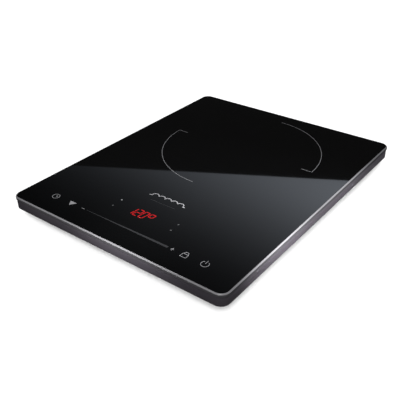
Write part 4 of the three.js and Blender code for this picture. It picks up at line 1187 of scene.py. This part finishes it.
@dataclass
class BasePan(Part):
    """The moulded base: tapered walls, the intake grille, the exhaust slots and the inlet's pocket."""

    wall: float = 1.8 * MM
    rim_inset: float = 2.4 * MM
    rim_corner: float = 8.1 * MM
    rim_height: float = 18.1 * MM
    floor_inset: float = 17.2 * MM
    floor_corner: float = 16 * MM
    edge: float = 1.2 * MM
    edge_ease: float = 0.2
    lip: float = 0.35 * MM
    foot_hole: float = 2.8 * MM
    # What stands on the floor: the radius of each kind of post, and the height of a screw's boss.
    post_round: float = 0.3 * MM
    screw_boss: Place = (5.7 * MM, 9.7 * MM)
    coil_post: float = 4 * MM
    fan_pad: float = 4 * MM
    fan_hole_reach: float = 35.75 * MM
    board_posts: dict[str, float] = field(
        default_factory=lambda: {"power_board": 3 * MM, "control_board": 3.5 * MM}
    )
    row_shift: float = 1 * MM  # from a board's middle to its posts', where its screws stand in one row
    pocket_width: float = 24 * MM
    pocket_wall_y: float = 160 * MM
    pocket_depth: float = 20 * MM
    pocket_ceiling: float = 18.0 * MM
    ceiling_height: float = 1.6 * MM
    gland_hole: float = 5.2 * MM
    beyond: float = 1 * MM  # how far a cutter passes what it opens
    # The intake's rows of slots under the fan, which a rib parts down the middle.
    intake_radius: float = 36 * MM
    intake_rows: int = 11
    intake_pitch: float = 6 * MM
    intake_slot: float = 3 * MM
    intake_rib: float = 3.4 * MM
    # The exhaust's upright slots in the rear wall, each of a width and a height.
    exhaust_first: float = -72 * MM
    exhaust_count: int = 17
    exhaust_pitch: float = 7 * MM
    exhaust_slot: Place = (3 * MM, 8 * MM)
    exhaust_low: float = 6.4 * MM
    # The recess of a housing screw: the radii of its head and shank, and how deep each goes.
    recess_head: Place = (3.9 * MM, 3 * MM)
    recess_shank: Place = (2 * MM, 12.5 * MM)

    def build(self) -> None:
        """Builds the shell, adds what stands on it and opens its slots."""
        pan = Extent.of("base_pan")
        piece = self.build_shell(pan)
        combine(piece, self.features(pan), Working.JOIN)
        combine(piece, self.pocket_block(pan), Working.JOIN)
        combine(piece, self.openings(pan), Working.CUT)
        self.settle(piece, [FINISHES["pan_moulding"]], "pan_moulding", ["base_pan"])

    def outside(self, pan: Extent) -> list[Section]:
        """Lists the outline's sections from the underside to the rim.

        Args:
            pan: The CAD pan's box.

        Returns:
            Each section's inset, corner radius and height.
        """
        bottom, half = pan.low.z, self.edge / 2
        return [
            (self.floor_inset, self.floor_corner, bottom),
            (self.floor_inset - half, self.floor_corner + half, bottom + self.edge * self.edge_ease),
            (self.floor_inset - self.edge, self.floor_corner + self.edge, bottom + self.edge),
            (self.rim_inset, self.rim_corner, self.rim_height),
            (self.rim_inset, self.rim_corner, pan.high.z),
        ]

    def box(self, bm: bmesh.types.BMesh, low: Sequence[float], high: Sequence[float]) -> None:
        """Adds an upright block with softly rounded corners between two opposite corners.

        Args:
            bm: The mesh that it joins.
            low: Its lowest corner.
            high: The corner opposite.
        """
        size = (high[0] - low[0], high[1] - low[1])
        centre = ((low[0] + high[0]) / 2, (low[1] + high[1]) / 2)
        loft(bm, [rounded_face(bm, size, self.lip, height, centre) for height in (low[2], high[2])])

    def pocket_block(self, pan: Extent) -> bmesh.types.BMesh:
        """Builds the block that the inlet's pocket is hollowed out of, trimmed to the pan's outside.

        Args:
            pan: The CAD pan's box.

        Returns:
            The block's mesh.
        """
        x, back = Extent.of("cable_gland").middle.x, BODY.high.y
        half = self.pocket_width / 2 + self.wall
        trim = OVERLAP / 2
        bm = bmesh.new()
        low = (x - half, back - self.pocket_depth, pan.low.z + trim)
        self.box(bm, low, (x + half, back, self.pocket_ceiling + self.ceiling_height))
        piece = as_piece(bm, "pocket")
        envelope = bmesh.new()
        sections = [(inset + trim, corner, height) for inset, corner, height in self.outside(pan)]
        loft(envelope, [outline_face(envelope, section) for section in sections])
        combine(piece, envelope, Working.TRIM)
        trimmed = bmesh.new()
        trimmed.from_mesh(piece.data)
        bpy.data.objects.remove(piece)
        return trimmed

    def build_shell(self, pan: Extent) -> bpy.types.Object:
        """Builds the pan's walls and floor, with a rounded lower edge.

        Args:
            pan: The CAD pan's box.

        Returns:
            The shell.
        """
        floor, half = pan.low.z + self.wall, self.wall / 2
        inside = (self.rim_inset + self.wall, self.rim_corner - self.wall)
        bm = bmesh.new()
        steps = self.outside(pan) + [
            (*inside, pan.high.z),
            (*inside, self.rim_height + half),
            (self.floor_inset - self.edge + half, self.floor_corner, floor + self.edge),
            (self.floor_inset + half, self.floor_corner - self.wall, floor),
        ]
        loft(bm, [outline_face(bm, step) for step in steps])
        return as_piece(bm, "base_moulding")

    def features(self, pan: Extent) -> bmesh.types.BMesh:
        """Builds the bosses, the posts and the fan's pads on the floor.

        Args:
            pan: The CAD pan's box.

        Returns:
            The shapes, all in one mesh.
        """
        bm = bmesh.new()
        floor = pan.low.z + self.wall
        root, soft = floor - self.wall / 2, self.post_round
        for x, y, radius, top in self.post_places(floor):
            profile = [(0.0, root), (radius, root), (radius, top - soft), (radius - soft, top), (0.0, top)]
            ring_of(bm, profile, (x, y))
        return bm

    def post_places(self, floor: float) -> list[tuple[float, float, float, float]]:
        """Lists everything that stands on the floor.

        Args:
            floor: The height that they stand on.

        Returns:
            Each one's place in plan, its radius and the height of its top.
        """
        posts = []
        boss, boss_height = self.screw_boss
        for index in range(1, 5):
            screw = Extent.of(f"housing_screw_{index}").middle
            posts.append((screw.x, screw.y, boss, floor + boss_height))
        for index in range(1, 4):
            screw = Extent.of(f"coil_screw_{index}").middle
            posts.append((screw.x, screw.y, self.coil_post, Extent.of("coil_carrier").low.z))
        fan = Extent.of("fan_housing")
        supports = [(fan.middle, self.fan_hole_reach, self.fan_hole_reach, self.fan_pad, fan.low.z)]
        for board, radius in self.board_posts.items():
            screws = [Extent.of(f"{board}_screw_{index}").middle for index in (1, 2)]
            reach = (screws[0] - screws[1]) / 2
            centre = (screws[0] + screws[1]) / 2
            if abs(reach.y) < self.wall:
                centre.y = Extent.of(board).middle.y + self.row_shift
                reach.y = screws[0].y - centre.y
            supports.append((centre, abs(reach.x), abs(reach.y), radius, Extent.of(board).low.z))
        for centre, reach_x, reach_y, radius, top in supports:
            for side_x, side_y in ((-1, -1), (1, -1), (1, 1), (-1, 1)):
                posts.append((centre.x + side_x * reach_x, centre.y + side_y * reach_y, radius, top))
        return posts

    def openings(self, pan: Extent) -> bmesh.types.BMesh:
        """Builds the cutters of all the slots and recesses.

        Args:
            pan: The CAD pan's box.

        Returns:
            The cutters, all in one mesh.
        """
        bm = bmesh.new()
        self.cut_intake(bm, pan)
        self.cut_exhaust(bm)
        under, floor = pan.low.z - OVERLAP, pan.low.z + self.wall + OVERLAP
        hole = [(0.0, under), (self.foot_hole, under), (self.foot_hole, floor), (0.0, floor)]
        for index in range(1, 5):
            screw = Extent.of(f"housing_screw_{index}").middle
            self.cut_recess(bm, pan, screw)
            foot = Extent.of(f"foot_{index}").middle
            ring_of(bm, hole, (foot.x, foot.y))
        self.cut_pocket(bm, pan)
        return bm

    def cut_pocket(self, bm: bmesh.types.BMesh, pan: Extent) -> None:
        """Adds the notch behind the inlet's wall, the room in front of it and the bush's hole.

        Args:
            bm: The cutters' mesh.
            pan: The CAD pan's box.
        """
        gland = Extent.of("cable_gland").middle
        half, front = self.pocket_width / 2, self.pocket_wall_y - self.wall
        left, right = gland.x - half, gland.x + half
        low, high = pan.low.z - self.beyond, pan.high.z + self.beyond
        self.box(bm, (left, self.pocket_wall_y, low), (right, BODY.high.y, self.pocket_ceiling))
        self.box(bm, (left, front - self.pocket_depth, pan.low.z + self.wall), (right, front, high))
        depth = self.wall / 2 + self.beyond / 2
        profile = [(0.0, -depth), (self.gland_hole, -depth), (self.gland_hole, depth), (0.0, depth)]
        hole = ring_of(bm, profile)
        turn = Matrix.Translation(gland) @ Matrix.Rotation(math.pi / 2, 4, "X")
        bmesh.ops.transform(bm, matrix=turn, verts=hole)

    def cut_intake(self, bm: bmesh.types.BMesh, pan: Extent) -> None:
        """Adds the rows of slots under the fan, each with a lip that is flared outside.

        Args:
            bm: The cutters' mesh.
            pan: The CAD pan's box.
        """
        fan = Extent.of("fan_rotor").middle
        rib = self.intake_rib / 2
        for row in range(self.intake_rows):
            offset = (row - (self.intake_rows - 1) / 2) * self.intake_pitch
            length = math.sqrt(self.intake_radius**2 - offset**2) - rib
            for side in (-1, 1):
                centre = (fan.x + side * (rib + length / 2), fan.y + offset)
                self.slot_cutter(bm, (length, self.intake_slot), centre, pan.low.z)

    def slot_cutter(self, bm: bmesh.types.BMesh, size: Place, centre: Place, bottom: float) -> None:
        """Adds one upright slot cutter with round ends.

        Args:
            bm: The cutters' mesh.
            size: The slot's length and width.
            centre: Its middle in plan.
            bottom: The height of the pan's underside.
        """
        flare, margin = self.lip * 2, self.beyond / 2
        steps = [
            (flare, bottom - margin), (flare, bottom - OVERLAP / 10),
            (0.0, bottom + self.lip), (0.0, bottom + self.wall + margin),
        ]
        faces = []
        for grow, height in steps:
            plan = (size[0] + grow, size[1] + grow)
            faces.append(rounded_face(bm, plan, min(plan) / 2 * SLOT_END, height, centre))
        loft(bm, faces)

    def cut_exhaust(self, bm: bmesh.types.BMesh) -> None:
        """Adds the row of upright slots in the rear wall.

        Args:
            bm: The cutters' mesh.
        """
        corner = self.exhaust_slot[0] / 2 * SLOT_END
        middle = self.exhaust_low + self.exhaust_slot[1] / 2
        back = BODY.high.y
        depths = (back - self.floor_inset - self.wall * 2, back)
        turn = Matrix.Rotation(math.pi / 2, 4, "X")
        for index in range(self.exhaust_count):
            before = set(bm.verts)
            place = (self.exhaust_first + index * self.exhaust_pitch, middle)
            loft(bm, [rounded_face(bm, self.exhaust_slot, corner, -depth, place) for depth in depths])
            made = [vert for vert in bm.verts if vert not in before]
            bmesh.ops.transform(bm, matrix=turn, verts=made)

    def cut_recess(self, bm: bmesh.types.BMesh, pan: Extent, place: Vector) -> None:
        """Adds the recess for a screw's head, with the hole for its shank.

        Args:
            bm: The cutters' mesh.
            pan: The CAD pan's box.
            place: Where the screw stands.
        """
        head, head_depth = self.recess_head
        shank, shank_depth = self.recess_shank
        bottom, wide = pan.low.z, head + self.lip
        below, seat, end = bottom - head_depth, bottom + head_depth, bottom + shank_depth
        profile = [
            (0.0, below), (wide, below), (wide, bottom), (head, bottom + self.lip),
            (head, seat), (shank, seat), (shank, end), (0.0, end),
        ]
        ring_of(bm, profile, (place.x, place.y))


@dataclass
class Feet(Part):
    """Four round rubber feet, with grooves in the sole and a spigot that is pressed into the pan."""

    grooves: int = 3
    groove_depth: float = 0.35 * MM
    groove_width: float = 0.8 * MM
    groove_floor: float = 0.6  # its floor's width as a share of its mouth's
    spigot: float = 2.5 * MM
    edge: float = 0.9 * MM

    def build(self) -> None:
        """Turns each foot."""
        for index in range(1, 5):
            node = f"foot_{index}"
            foot = Extent.of(node)
            bm = bmesh.new()
            ring_of(bm, self.profile(foot), (foot.middle.x, foot.middle.y))
            self.settle(as_piece(bm, f"rubber_{node}"), [FINISHES["foot_rubber"]], "foot_rubber", [node])

    def profile(self, foot: Extent) -> list[Place]:
        """Draws the foot's half section, from the middle of the sole to the top of the spigot.

        Args:
            foot: The CAD foot's box.

        Returns:
            Pairs of radius and height.
        """
        radius, sole, top = foot.size.x / 2, foot.low.z, foot.high.z
        shoulder = Extent.of("base_pan").low.z
        points = [(0.0, sole)]
        pitch = (radius - self.edge) / (self.grooves + 1)
        half, deep = self.groove_width / 2, sole + self.groove_depth
        narrow = half * self.groove_floor
        for groove in range(1, self.grooves + 1):
            middle = groove * pitch
            points += [
                (middle - half, sole), (middle - narrow, deep),
                (middle + narrow, deep), (middle + half, sole),
            ]
        ease, tip = self.edge * EASE, self.edge / 2
        return points + [
            (radius - self.edge, sole), (radius - ease, sole + ease), (radius, sole + self.edge),
            (radius, shoulder - ease), (radius - ease, shoulder), (self.spigot, shoulder),
            (self.spigot, top - tip), (self.spigot - tip, top), (0.0, top),
        ]


@dataclass
class HousingScrews(Part):
    """The four pan-head screws that hold the body together from below."""

    shank: float = 1.3 * MM
    head_height: float = 2.2 * MM
    dome: float = 0.55  # the domed share of the head's height
    dome_steps: int = 6
    thread: float = 0.25 * MM
    pitch: float = 1.1 * MM
    thread_start: float = 0.6  # where the first turn starts, in turns
    # The cross's length, width and depth, its corners as a share of the width, and its size at the bottom.
    drive: tuple[float, float, float] = (4.2 * MM, 0.9 * MM, 1.2 * MM)
    drive_corner: float = 0.2
    drive_taper: float = 0.8

    def build(self) -> None:
        """Turns each screw and cuts its cross."""
        for index in range(1, 5):
            node = f"housing_screw_{index}"
            screw = Extent.of(node)
            bm = bmesh.new()
            ring_of(bm, self.profile(screw), (screw.middle.x, screw.middle.y))
            piece = as_piece(bm, f"zinc_{node}")
            combine(piece, self.cross(screw), Working.CUT)
            self.settle(piece, [FINISHES["zinc_steel"]], "zinc_steel", [node])

    def profile(self, screw: Extent) -> list[Place]:
        """Draws the screw's half section, from the middle of its domed head to its tip.

        Args:
            screw: The CAD screw's box.

        Returns:
            Pairs of radius and height.
        """
        radius, low, seat = screw.size.x / 2, screw.low.z, screw.low.z + self.head_height
        rise, core = self.head_height * self.dome, self.shank - self.thread
        points = []
        for step in range(self.dome_steps + 1):
            turn = step / self.dome_steps * math.pi / 2
            points.append((radius * math.sin(turn), low + rise * (1 - math.cos(turn))))
        points += [(radius, seat), (self.shank, seat)]
        for index in range(int((screw.high.z - seat) / self.pitch) - 1):
            start = seat + self.pitch * (index + self.thread_start)
            points += [(core, start), (self.shank, start + self.pitch / 2)]
        return points + [(core, screw.high.z), (0.0, screw.high.z)]

    def cross(self, screw: Extent) -> bmesh.types.BMesh:
        """Builds the cross-shaped cutter of the drive recess.

        Args:
            screw: The CAD screw's box.

        Returns:
            The cutter's mesh.
        """
        long, narrow, depth = self.drive
        centre, corner = (screw.middle.x, screw.middle.y), narrow * self.drive_corner
        bm = bmesh.new()
        for size in ((long, narrow), (narrow, long)):
            bottom = (size[0] * self.drive_taper, size[1] * self.drive_taper)
            mouth = rounded_face(bm, size, corner, screw.low.z - depth, centre)
            loft(bm, [mouth, rounded_face(bm, bottom, corner, screw.low.z + depth, centre)])
        return bm


@dataclass
class CordBush(Part):
    """The cord inlet's bush: a flanged rubber sleeve whose bore lies along Y."""

    bore: float = 3.6 * MM
    barrel: float = 4.9 * MM
    flange_height: float = 1.5 * MM
    round_off: float = 0.4 * MM

    def build(self) -> None:
        """Turns the bush upright, then lays it along Y."""
        gland = Extent.of("cable_gland")
        half, radius = gland.size.y / 2, gland.size.x / 2
        groove = half - self.flange_height
        bore, edge, soft = self.bore, self.round_off, self.round_off / 2
        flange = [
            (self.barrel, groove), (radius - soft, groove), (radius, groove + soft),
            (radius, half - edge), (radius - edge, half), (bore + edge, half), (bore, half - edge),
        ]
        other = [(reach, -height) for reach, height in reversed(flange)]
        profile = other + flange + other[:1]
        bm = bmesh.new()
        ring_of(bm, profile)
        turn = Matrix.Translation(gland.middle) @ Matrix.Rotation(math.pi / 2, 4, "X")
        bmesh.ops.transform(bm, matrix=turn, verts=list(bm.verts))
        self.settle(as_piece(bm, "cord_bush"), [FINISHES["gland_rubber"]], "gland_rubber", ["cable_gland"])


@dataclass
class Interior:
    """The CAD pieces that keep their shape, with the finishes of their real materials."""

    kept: list[str] = field(default_factory=list)

    def dress(self) -> None:
        """Gives every CAD node that is still shown its record slot's finish."""
        slots = {row["node"]: row["material_slot"] for row in frame["record"]["subparts"]}
        for name, node in frame["nodes"].items():
            if node.hide_render:
                continue
            material = FINISHES[slots[name]].material()
            if not node.material_slots:
                node.data.materials.append(material)
            for slot in node.material_slots:
                slot.material = material
            self.kept.append(name)
        LOG.info("CAD nodes kept and dressed: %d", len(self.kept))


# ---- Studio ----


@dataclass(frozen=True)
class Paper(Moulded):
    """The studio's paper floor, which can be looked through from below."""

    def shade(self, shader: bpy.types.Node) -> None:
        """Makes the floor's underside clear.

        Args:
            shader: The material's main shader.
        """
        super().shade(shader)
        tree = shader.id_data
        side = add_node(tree, "ShaderNodeNewGeometry").outputs["Backfacing"]
        clear = add_node(tree, "ShaderNodeBsdfTransparent")
        either = add_node(tree, "ShaderNodeMixShader", inputs={0: side, 1: shader, 2: clear})
        tree.links.new(either.outputs[0], tree.nodes["Material Output"].inputs["Surface"])


@dataclass
class Studio:
    """A white floor, soft light from above, and the cards and lamps that draw the glass and the frame."""

    eye: Vector
    floor_reach: float = 4.0
    floor_cells: int = 8
    fill: float = 0.5
    glare: float = 0.02
    card_height: float = 1.2
    # The card's far edge, as it is seen in the glass, passes over these two points of the plate.
    card_line: tuple[Place, Place] = ((-76 * MM, -56 * MM), (139 * MM, 65 * MM))
    # Its corners as they are seen in the glass, in metres along that line and in front of it.
    card_corners: tuple[Place, ...] = ((-0.25, 0.0), (0.5, 0.0), (0.5, 0.55), (-0.25, 0.55))
    # Its light is the exponential of a quadratic of the same two distances, counted in card units. The
    # terms are the constant, along, in front, their product and the two squares.
    card_unit: float = 0.1
    card_fade: tuple[float, ...] = (-1.558, 1.151, -1.082, 0.700, -0.207, -0.599)
    card_colour: tuple[float, float, float, float] = (0.95, 1.03, 1.16, 1.0)
    sun_place: tuple[float, float, float] = (0.75, -1.05, 1.22)
    sun_spread: float = 23.0
    sun_power: float = 4.75
    spot_bulb: float = 0.03
    # Name, place, target, spread in degrees and power of each lamp for the sides.
    spots: tuple[Spot, ...] = (
        ("front_lamp", (-0.19, -1.00, 0.52), (0.020, -0.174, 0.028), 8.0, 53.0),
        ("front_fill", (-0.42, -0.90, 0.34), (-0.035, -0.174, 0.028), 15.0, 15.0),
        ("corner_lamp", (0.35, -0.75, 0.62), (0.125, -0.170, 0.030), 9.0, 10.0),
        ("side_lamp", (1.05, -0.20, 0.34), (0.139, -0.080, 0.028), 7.0, 98.0),
        ("side_fill", (1.00, 0.20, 0.34), (0.139, -0.012, 0.028), 16.5, 60.0),
    )
    # Softboxes under and behind the body, which light only what is below its frame.
    low_lamps: tuple[tuple[float, float, float], ...] = (
        (-0.9, -0.9, -0.8), (0.9, 0.6, -0.8), (0.1, 1.3, 0.25),
    )
    low_size: float = 0.8
    low_power: float = 16.0
    low_reach: float = 27 * MM  # above the pan and below the frame's top
    # A wash along the metal frame only.
    band_spot: Spot = ("band_wash", (1.10, 0.35, 0.10), (0.139, 0.060, 0.022), 26.0, 26.0)

    def build(self) -> None:
        """Builds the floor, the card, the lamps and the surroundings."""
        floor = self.build_floor()
        self.build_card()
        self.build_surroundings()
        self.build_lamps(floor)

    def build_floor(self) -> bpy.types.Object:
        """Lays a wide pale floor with a faint paper grain, which doesn't light the object from below.

        Returns:
            The floor.
        """
        bm = bmesh.new()
        cells = {"x_segments": self.floor_cells, "y_segments": self.floor_cells}
        bmesh.ops.create_grid(bm, **cells, size=self.floor_reach)
        floor = as_piece(bm, "studio_floor")
        paper = Paper("white paper, matt", "e6e6e6", "ececec", (0.9, 1.0), 0.02, ior=1.2, grain_mm=0.5)
        floor.data.materials.append(paper.material())
        floor.visible_glossy = False
        floor.visible_diffuse = False
        floor.visible_shadow = False
        floor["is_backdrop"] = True
        return floor

    def build_card(self) -> None:
        """Hangs the lit card that the glass mirrors in front of a straight edge."""
        glass = BODY.high.z
        mirrored = Vector((self.eye.x, self.eye.y, 2 * glass - self.eye.z))
        reach = (self.card_height + self.eye.z - glass) / (self.eye.z - glass)
        start, end = (Vector((x, y, glass)) for x, y in self.card_line)
        along = (end - start).normalized()
        front = Vector((along.y, -along.x, 0))
        bm = bmesh.new()
        verts = []
        for run, depth in self.card_corners:
            seen = start + along * run + front * depth
            verts.append(bm.verts.new(mirrored + (seen - mirrored) * reach))
        bmesh.ops.contextual_create(bm, geom=verts)
        card = as_piece(bm, "studio_card")
        card.data.materials.append(self.card_light(mirrored, reach, start, along, front))
        card.visible_camera = False
        card.visible_diffuse = False
        card.visible_shadow = False
        card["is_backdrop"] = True

    def card_light(
        self, mirrored: Vector, reach: float, start: Vector, along: Vector, front: Vector
    ) -> bpy.types.Material:
        """Makes the card's light, which fades away from its bright corner.

        Args:
            mirrored: Where the eye stands behind the glass, as in a mirror.
            reach: How many times farther from there the card is than the glass.
            start: Where the card's far edge starts on the glass.
            along: The direction of that edge.
            front: The direction from it towards the controls.

        Returns:
            The material.
        """
        made = bpy.data.materials.new("studio card, graded light")
        made.use_nodes = True
        tree = made.node_tree
        tree.nodes.clear()
        place = add_node(tree, "ShaderNodeTexCoord").outputs["Object"]
        measured = []
        for axis in (along, front):
            scaled = {0: place, 1: axis / reach / self.card_unit}
            dot = add_node(tree, "ShaderNodeVectorMath", {"operation": "DOT_PRODUCT"}, scaled)
            offset = (mirrored * (1 - 1 / reach) - start).dot(axis) / self.card_unit
            shift = {0: dot.outputs["Value"], 1: offset}
            measured.append(add_node(tree, "ShaderNodeMath", {"operation": "ADD"}, shift))
        run, depth = measured
        products = [
            add_node(tree, "ShaderNodeMath", {"operation": "MULTIPLY"}, {0: one, 1: other})
            for one, other in ((run, depth), (run, run), (depth, depth))
        ]
        total = self.card_fade[0]
        for share, term in zip(self.card_fade[1:], (run, depth, *products)):
            step = {0: term, 1: share, 2: total}
            total = add_node(tree, "ShaderNodeMath", {"operation": "MULTIPLY_ADD"}, step)
        strength = add_node(tree, "ShaderNodeMath", {"operation": "EXPONENT"}, {0: total})
        glow = {"Color": self.card_colour, "Strength": strength}
        light = add_node(tree, "ShaderNodeEmission", inputs=glow)
        add_node(tree, "ShaderNodeOutputMaterial", inputs={"Surface": light})
        return made

    def build_surroundings(self) -> None:
        """Makes the air white to the eye and softly lit, and dark in reflections."""
        world = bpy.data.worlds.new("studio surroundings")
        bpy.context.scene.world = world
        world.use_nodes = True
        tree = world.node_tree
        tree.nodes.clear()
        rays = add_node(tree, "ShaderNodeLightPath")
        glare = {"Value": rays.outputs["Is Glossy Ray"], "To Min": self.fill, "To Max": self.glare}
        indoors = add_node(tree, "ShaderNodeMapRange", inputs=glare)
        seen = {"Value": rays.outputs["Is Camera Ray"], "To Min": indoors, "To Max": 1.0}
        strength = add_node(tree, "ShaderNodeMapRange", inputs=seen)
        white = {"Color": linear("ffffff"), "Strength": strength}
        light = add_node(tree, "ShaderNodeBackground", inputs=white)
        add_node(tree, "ShaderNodeOutputWorld", inputs={"Surface": light})

    def build_lamps(self, floor: bpy.types.Object) -> None:
        """Hangs the soft sun that whitens the floor, and the lamps for the body's sides and underside.

        Args:
            floor: The floor, which the sun alone lights.
        """
        sun = bpy.data.lights.new("floor_sun", "SUN")
        sun.energy = self.sun_power
        sun.angle = math.radians(self.sun_spread)
        lamp = self.hang(sun, self.sun_place, (0.0, 0.0, 0.0))
        lamp.visible_glossy = False
        self.light_only(lamp, [floor])
        for spot in self.spots:
            self.light_only(self.spot_lamp(*spot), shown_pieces())
        self.light_only(self.spot_lamp(*self.band_spot), [bpy.data.objects["metal_frame"]])
        tops = {piece: piece.matrix_world @ Vector(piece.bound_box[1]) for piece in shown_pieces()}
        underneath = [piece for piece, top in tops.items() if top.z < self.low_reach]
        for place in self.low_lamps:
            low = bpy.data.lights.new("low_softbox", "AREA")
            low.size = self.low_size
            low.energy = self.low_power
            self.light_only(self.hang(low, place, (0.0, 0.0, 0.0)), underneath)

    def light_only(self, lamp: bpy.types.Object, lit: Sequence[bpy.types.Object]) -> None:
        """Keeps a lamp's light on the given objects.

        Args:
            lamp: The lamp.
            lit: What it lights.
        """
        group = bpy.data.collections.new(f"lit by {lamp.name}")
        for item in lit:
            group.objects.link(item)
        lamp.light_linking.receiver_collection = group

    def spot_lamp(
        self, name: str, place: Sequence[float], target: Sequence[float], spread: float, power: float
    ) -> bpy.types.Object:
        """Adds a focused lamp whose pool of light fades all the way from its middle.

        Args:
            name: The lamp's name.
            place: Where it hangs.
            target: Where it points.
            spread: The whole cone's angle in degrees.
            power: Its power in watts.

        Returns:
            The lamp.
        """
        light = bpy.data.lights.new(name, "SPOT")
        light.spot_size = math.radians(spread)
        light.spot_blend = 1.0
        light.shadow_soft_size = self.spot_bulb
        light.energy = power
        return self.hang(light, place, target)

    def hang(
        self, light: bpy.types.Light, place: Sequence[float], target: Sequence[float]
    ) -> bpy.types.Object:
        """Puts a lamp in its place and turns it to its target.

        Args:
            light: The lamp's light.
            place: Where it hangs.
            target: Where it points.

        Returns:
            The lamp.
        """
        lamp = bpy.data.objects.new(light.name, light)
        bpy.context.scene.collection.objects.link(lamp)
        lamp.location = place
        lamp.rotation_euler = (Vector(target) - Vector(place)).to_track_quat("-Z", "Y").to_euler()
        lamp.visible_camera = False
        return lamp


@dataclass
class Viewpoint:
    """The camera: a normal lens from the right of the controls, a little above the height of the eyes."""

    target: Vector = field(default_factory=lambda: Vector((0.030111, -0.063849, 0.033)))
    distance: float = 0.63303
    azimuth: float = 37.8794
    elevation: float = 31.7533
    roll: float = -0.9963
    lens: float = 54.159
    sensor: float = 36.0
    near: float = 0.01

    def back(self) -> Vector:
        """Returns the direction from the target to the camera."""
        turn, rise = math.radians(self.azimuth), math.radians(self.elevation)
        return Vector((math.sin(turn) * math.cos(rise), -math.cos(turn) * math.cos(rise), math.sin(rise)))

    def eye(self) -> Vector:
        """Returns where the camera stands."""
        return self.target + self.back() * self.distance

    def build(self) -> None:
        """Makes the camera and sets it as the scene's."""
        turn, roll = math.radians(self.azimuth), math.radians(self.roll)
        back = self.back()
        right = Vector((math.cos(turn), math.sin(turn), 0))
        up = back.cross(right)
        level, upright = right, up
        right = level * math.cos(roll) + upright * math.sin(roll)
        up = upright * math.cos(roll) - level * math.sin(roll)
        camera = bpy.data.objects.new("camera", bpy.data.cameras.new("camera"))
        bpy.context.scene.collection.objects.link(camera)
        camera.data.lens = self.lens
        camera.data.sensor_width = self.sensor
        camera.data.clip_start = self.near
        axes = Matrix((right, up, back)).transposed().to_4x4()
        camera.matrix_world = Matrix.Translation(self.eye()) @ axes
        bpy.context.scene.camera = camera
        bpy.context.scene.view_settings.view_transform = "Standard"


def main() -> None:
    """Builds the cooktop from the top down, then the studio, and reports each piece."""
    logging.basicConfig(level=logging.INFO, format="%(name)s: %(message)s")
    viewpoint = Viewpoint()
    viewpoint.build()
    parts: tuple[Part, ...] = (
        GlassTop(), ZonePrint(), KeyPrint(), CoilSign(), Readout(),
        FrameBand(), BasePan(), Feet(), HousingScrews(), CordBush(),
    )
    for part in parts:
        part.build()
    Interior().dress()
    Studio(viewpoint.eye()).build()


if __name__ == "__main__":
    main()
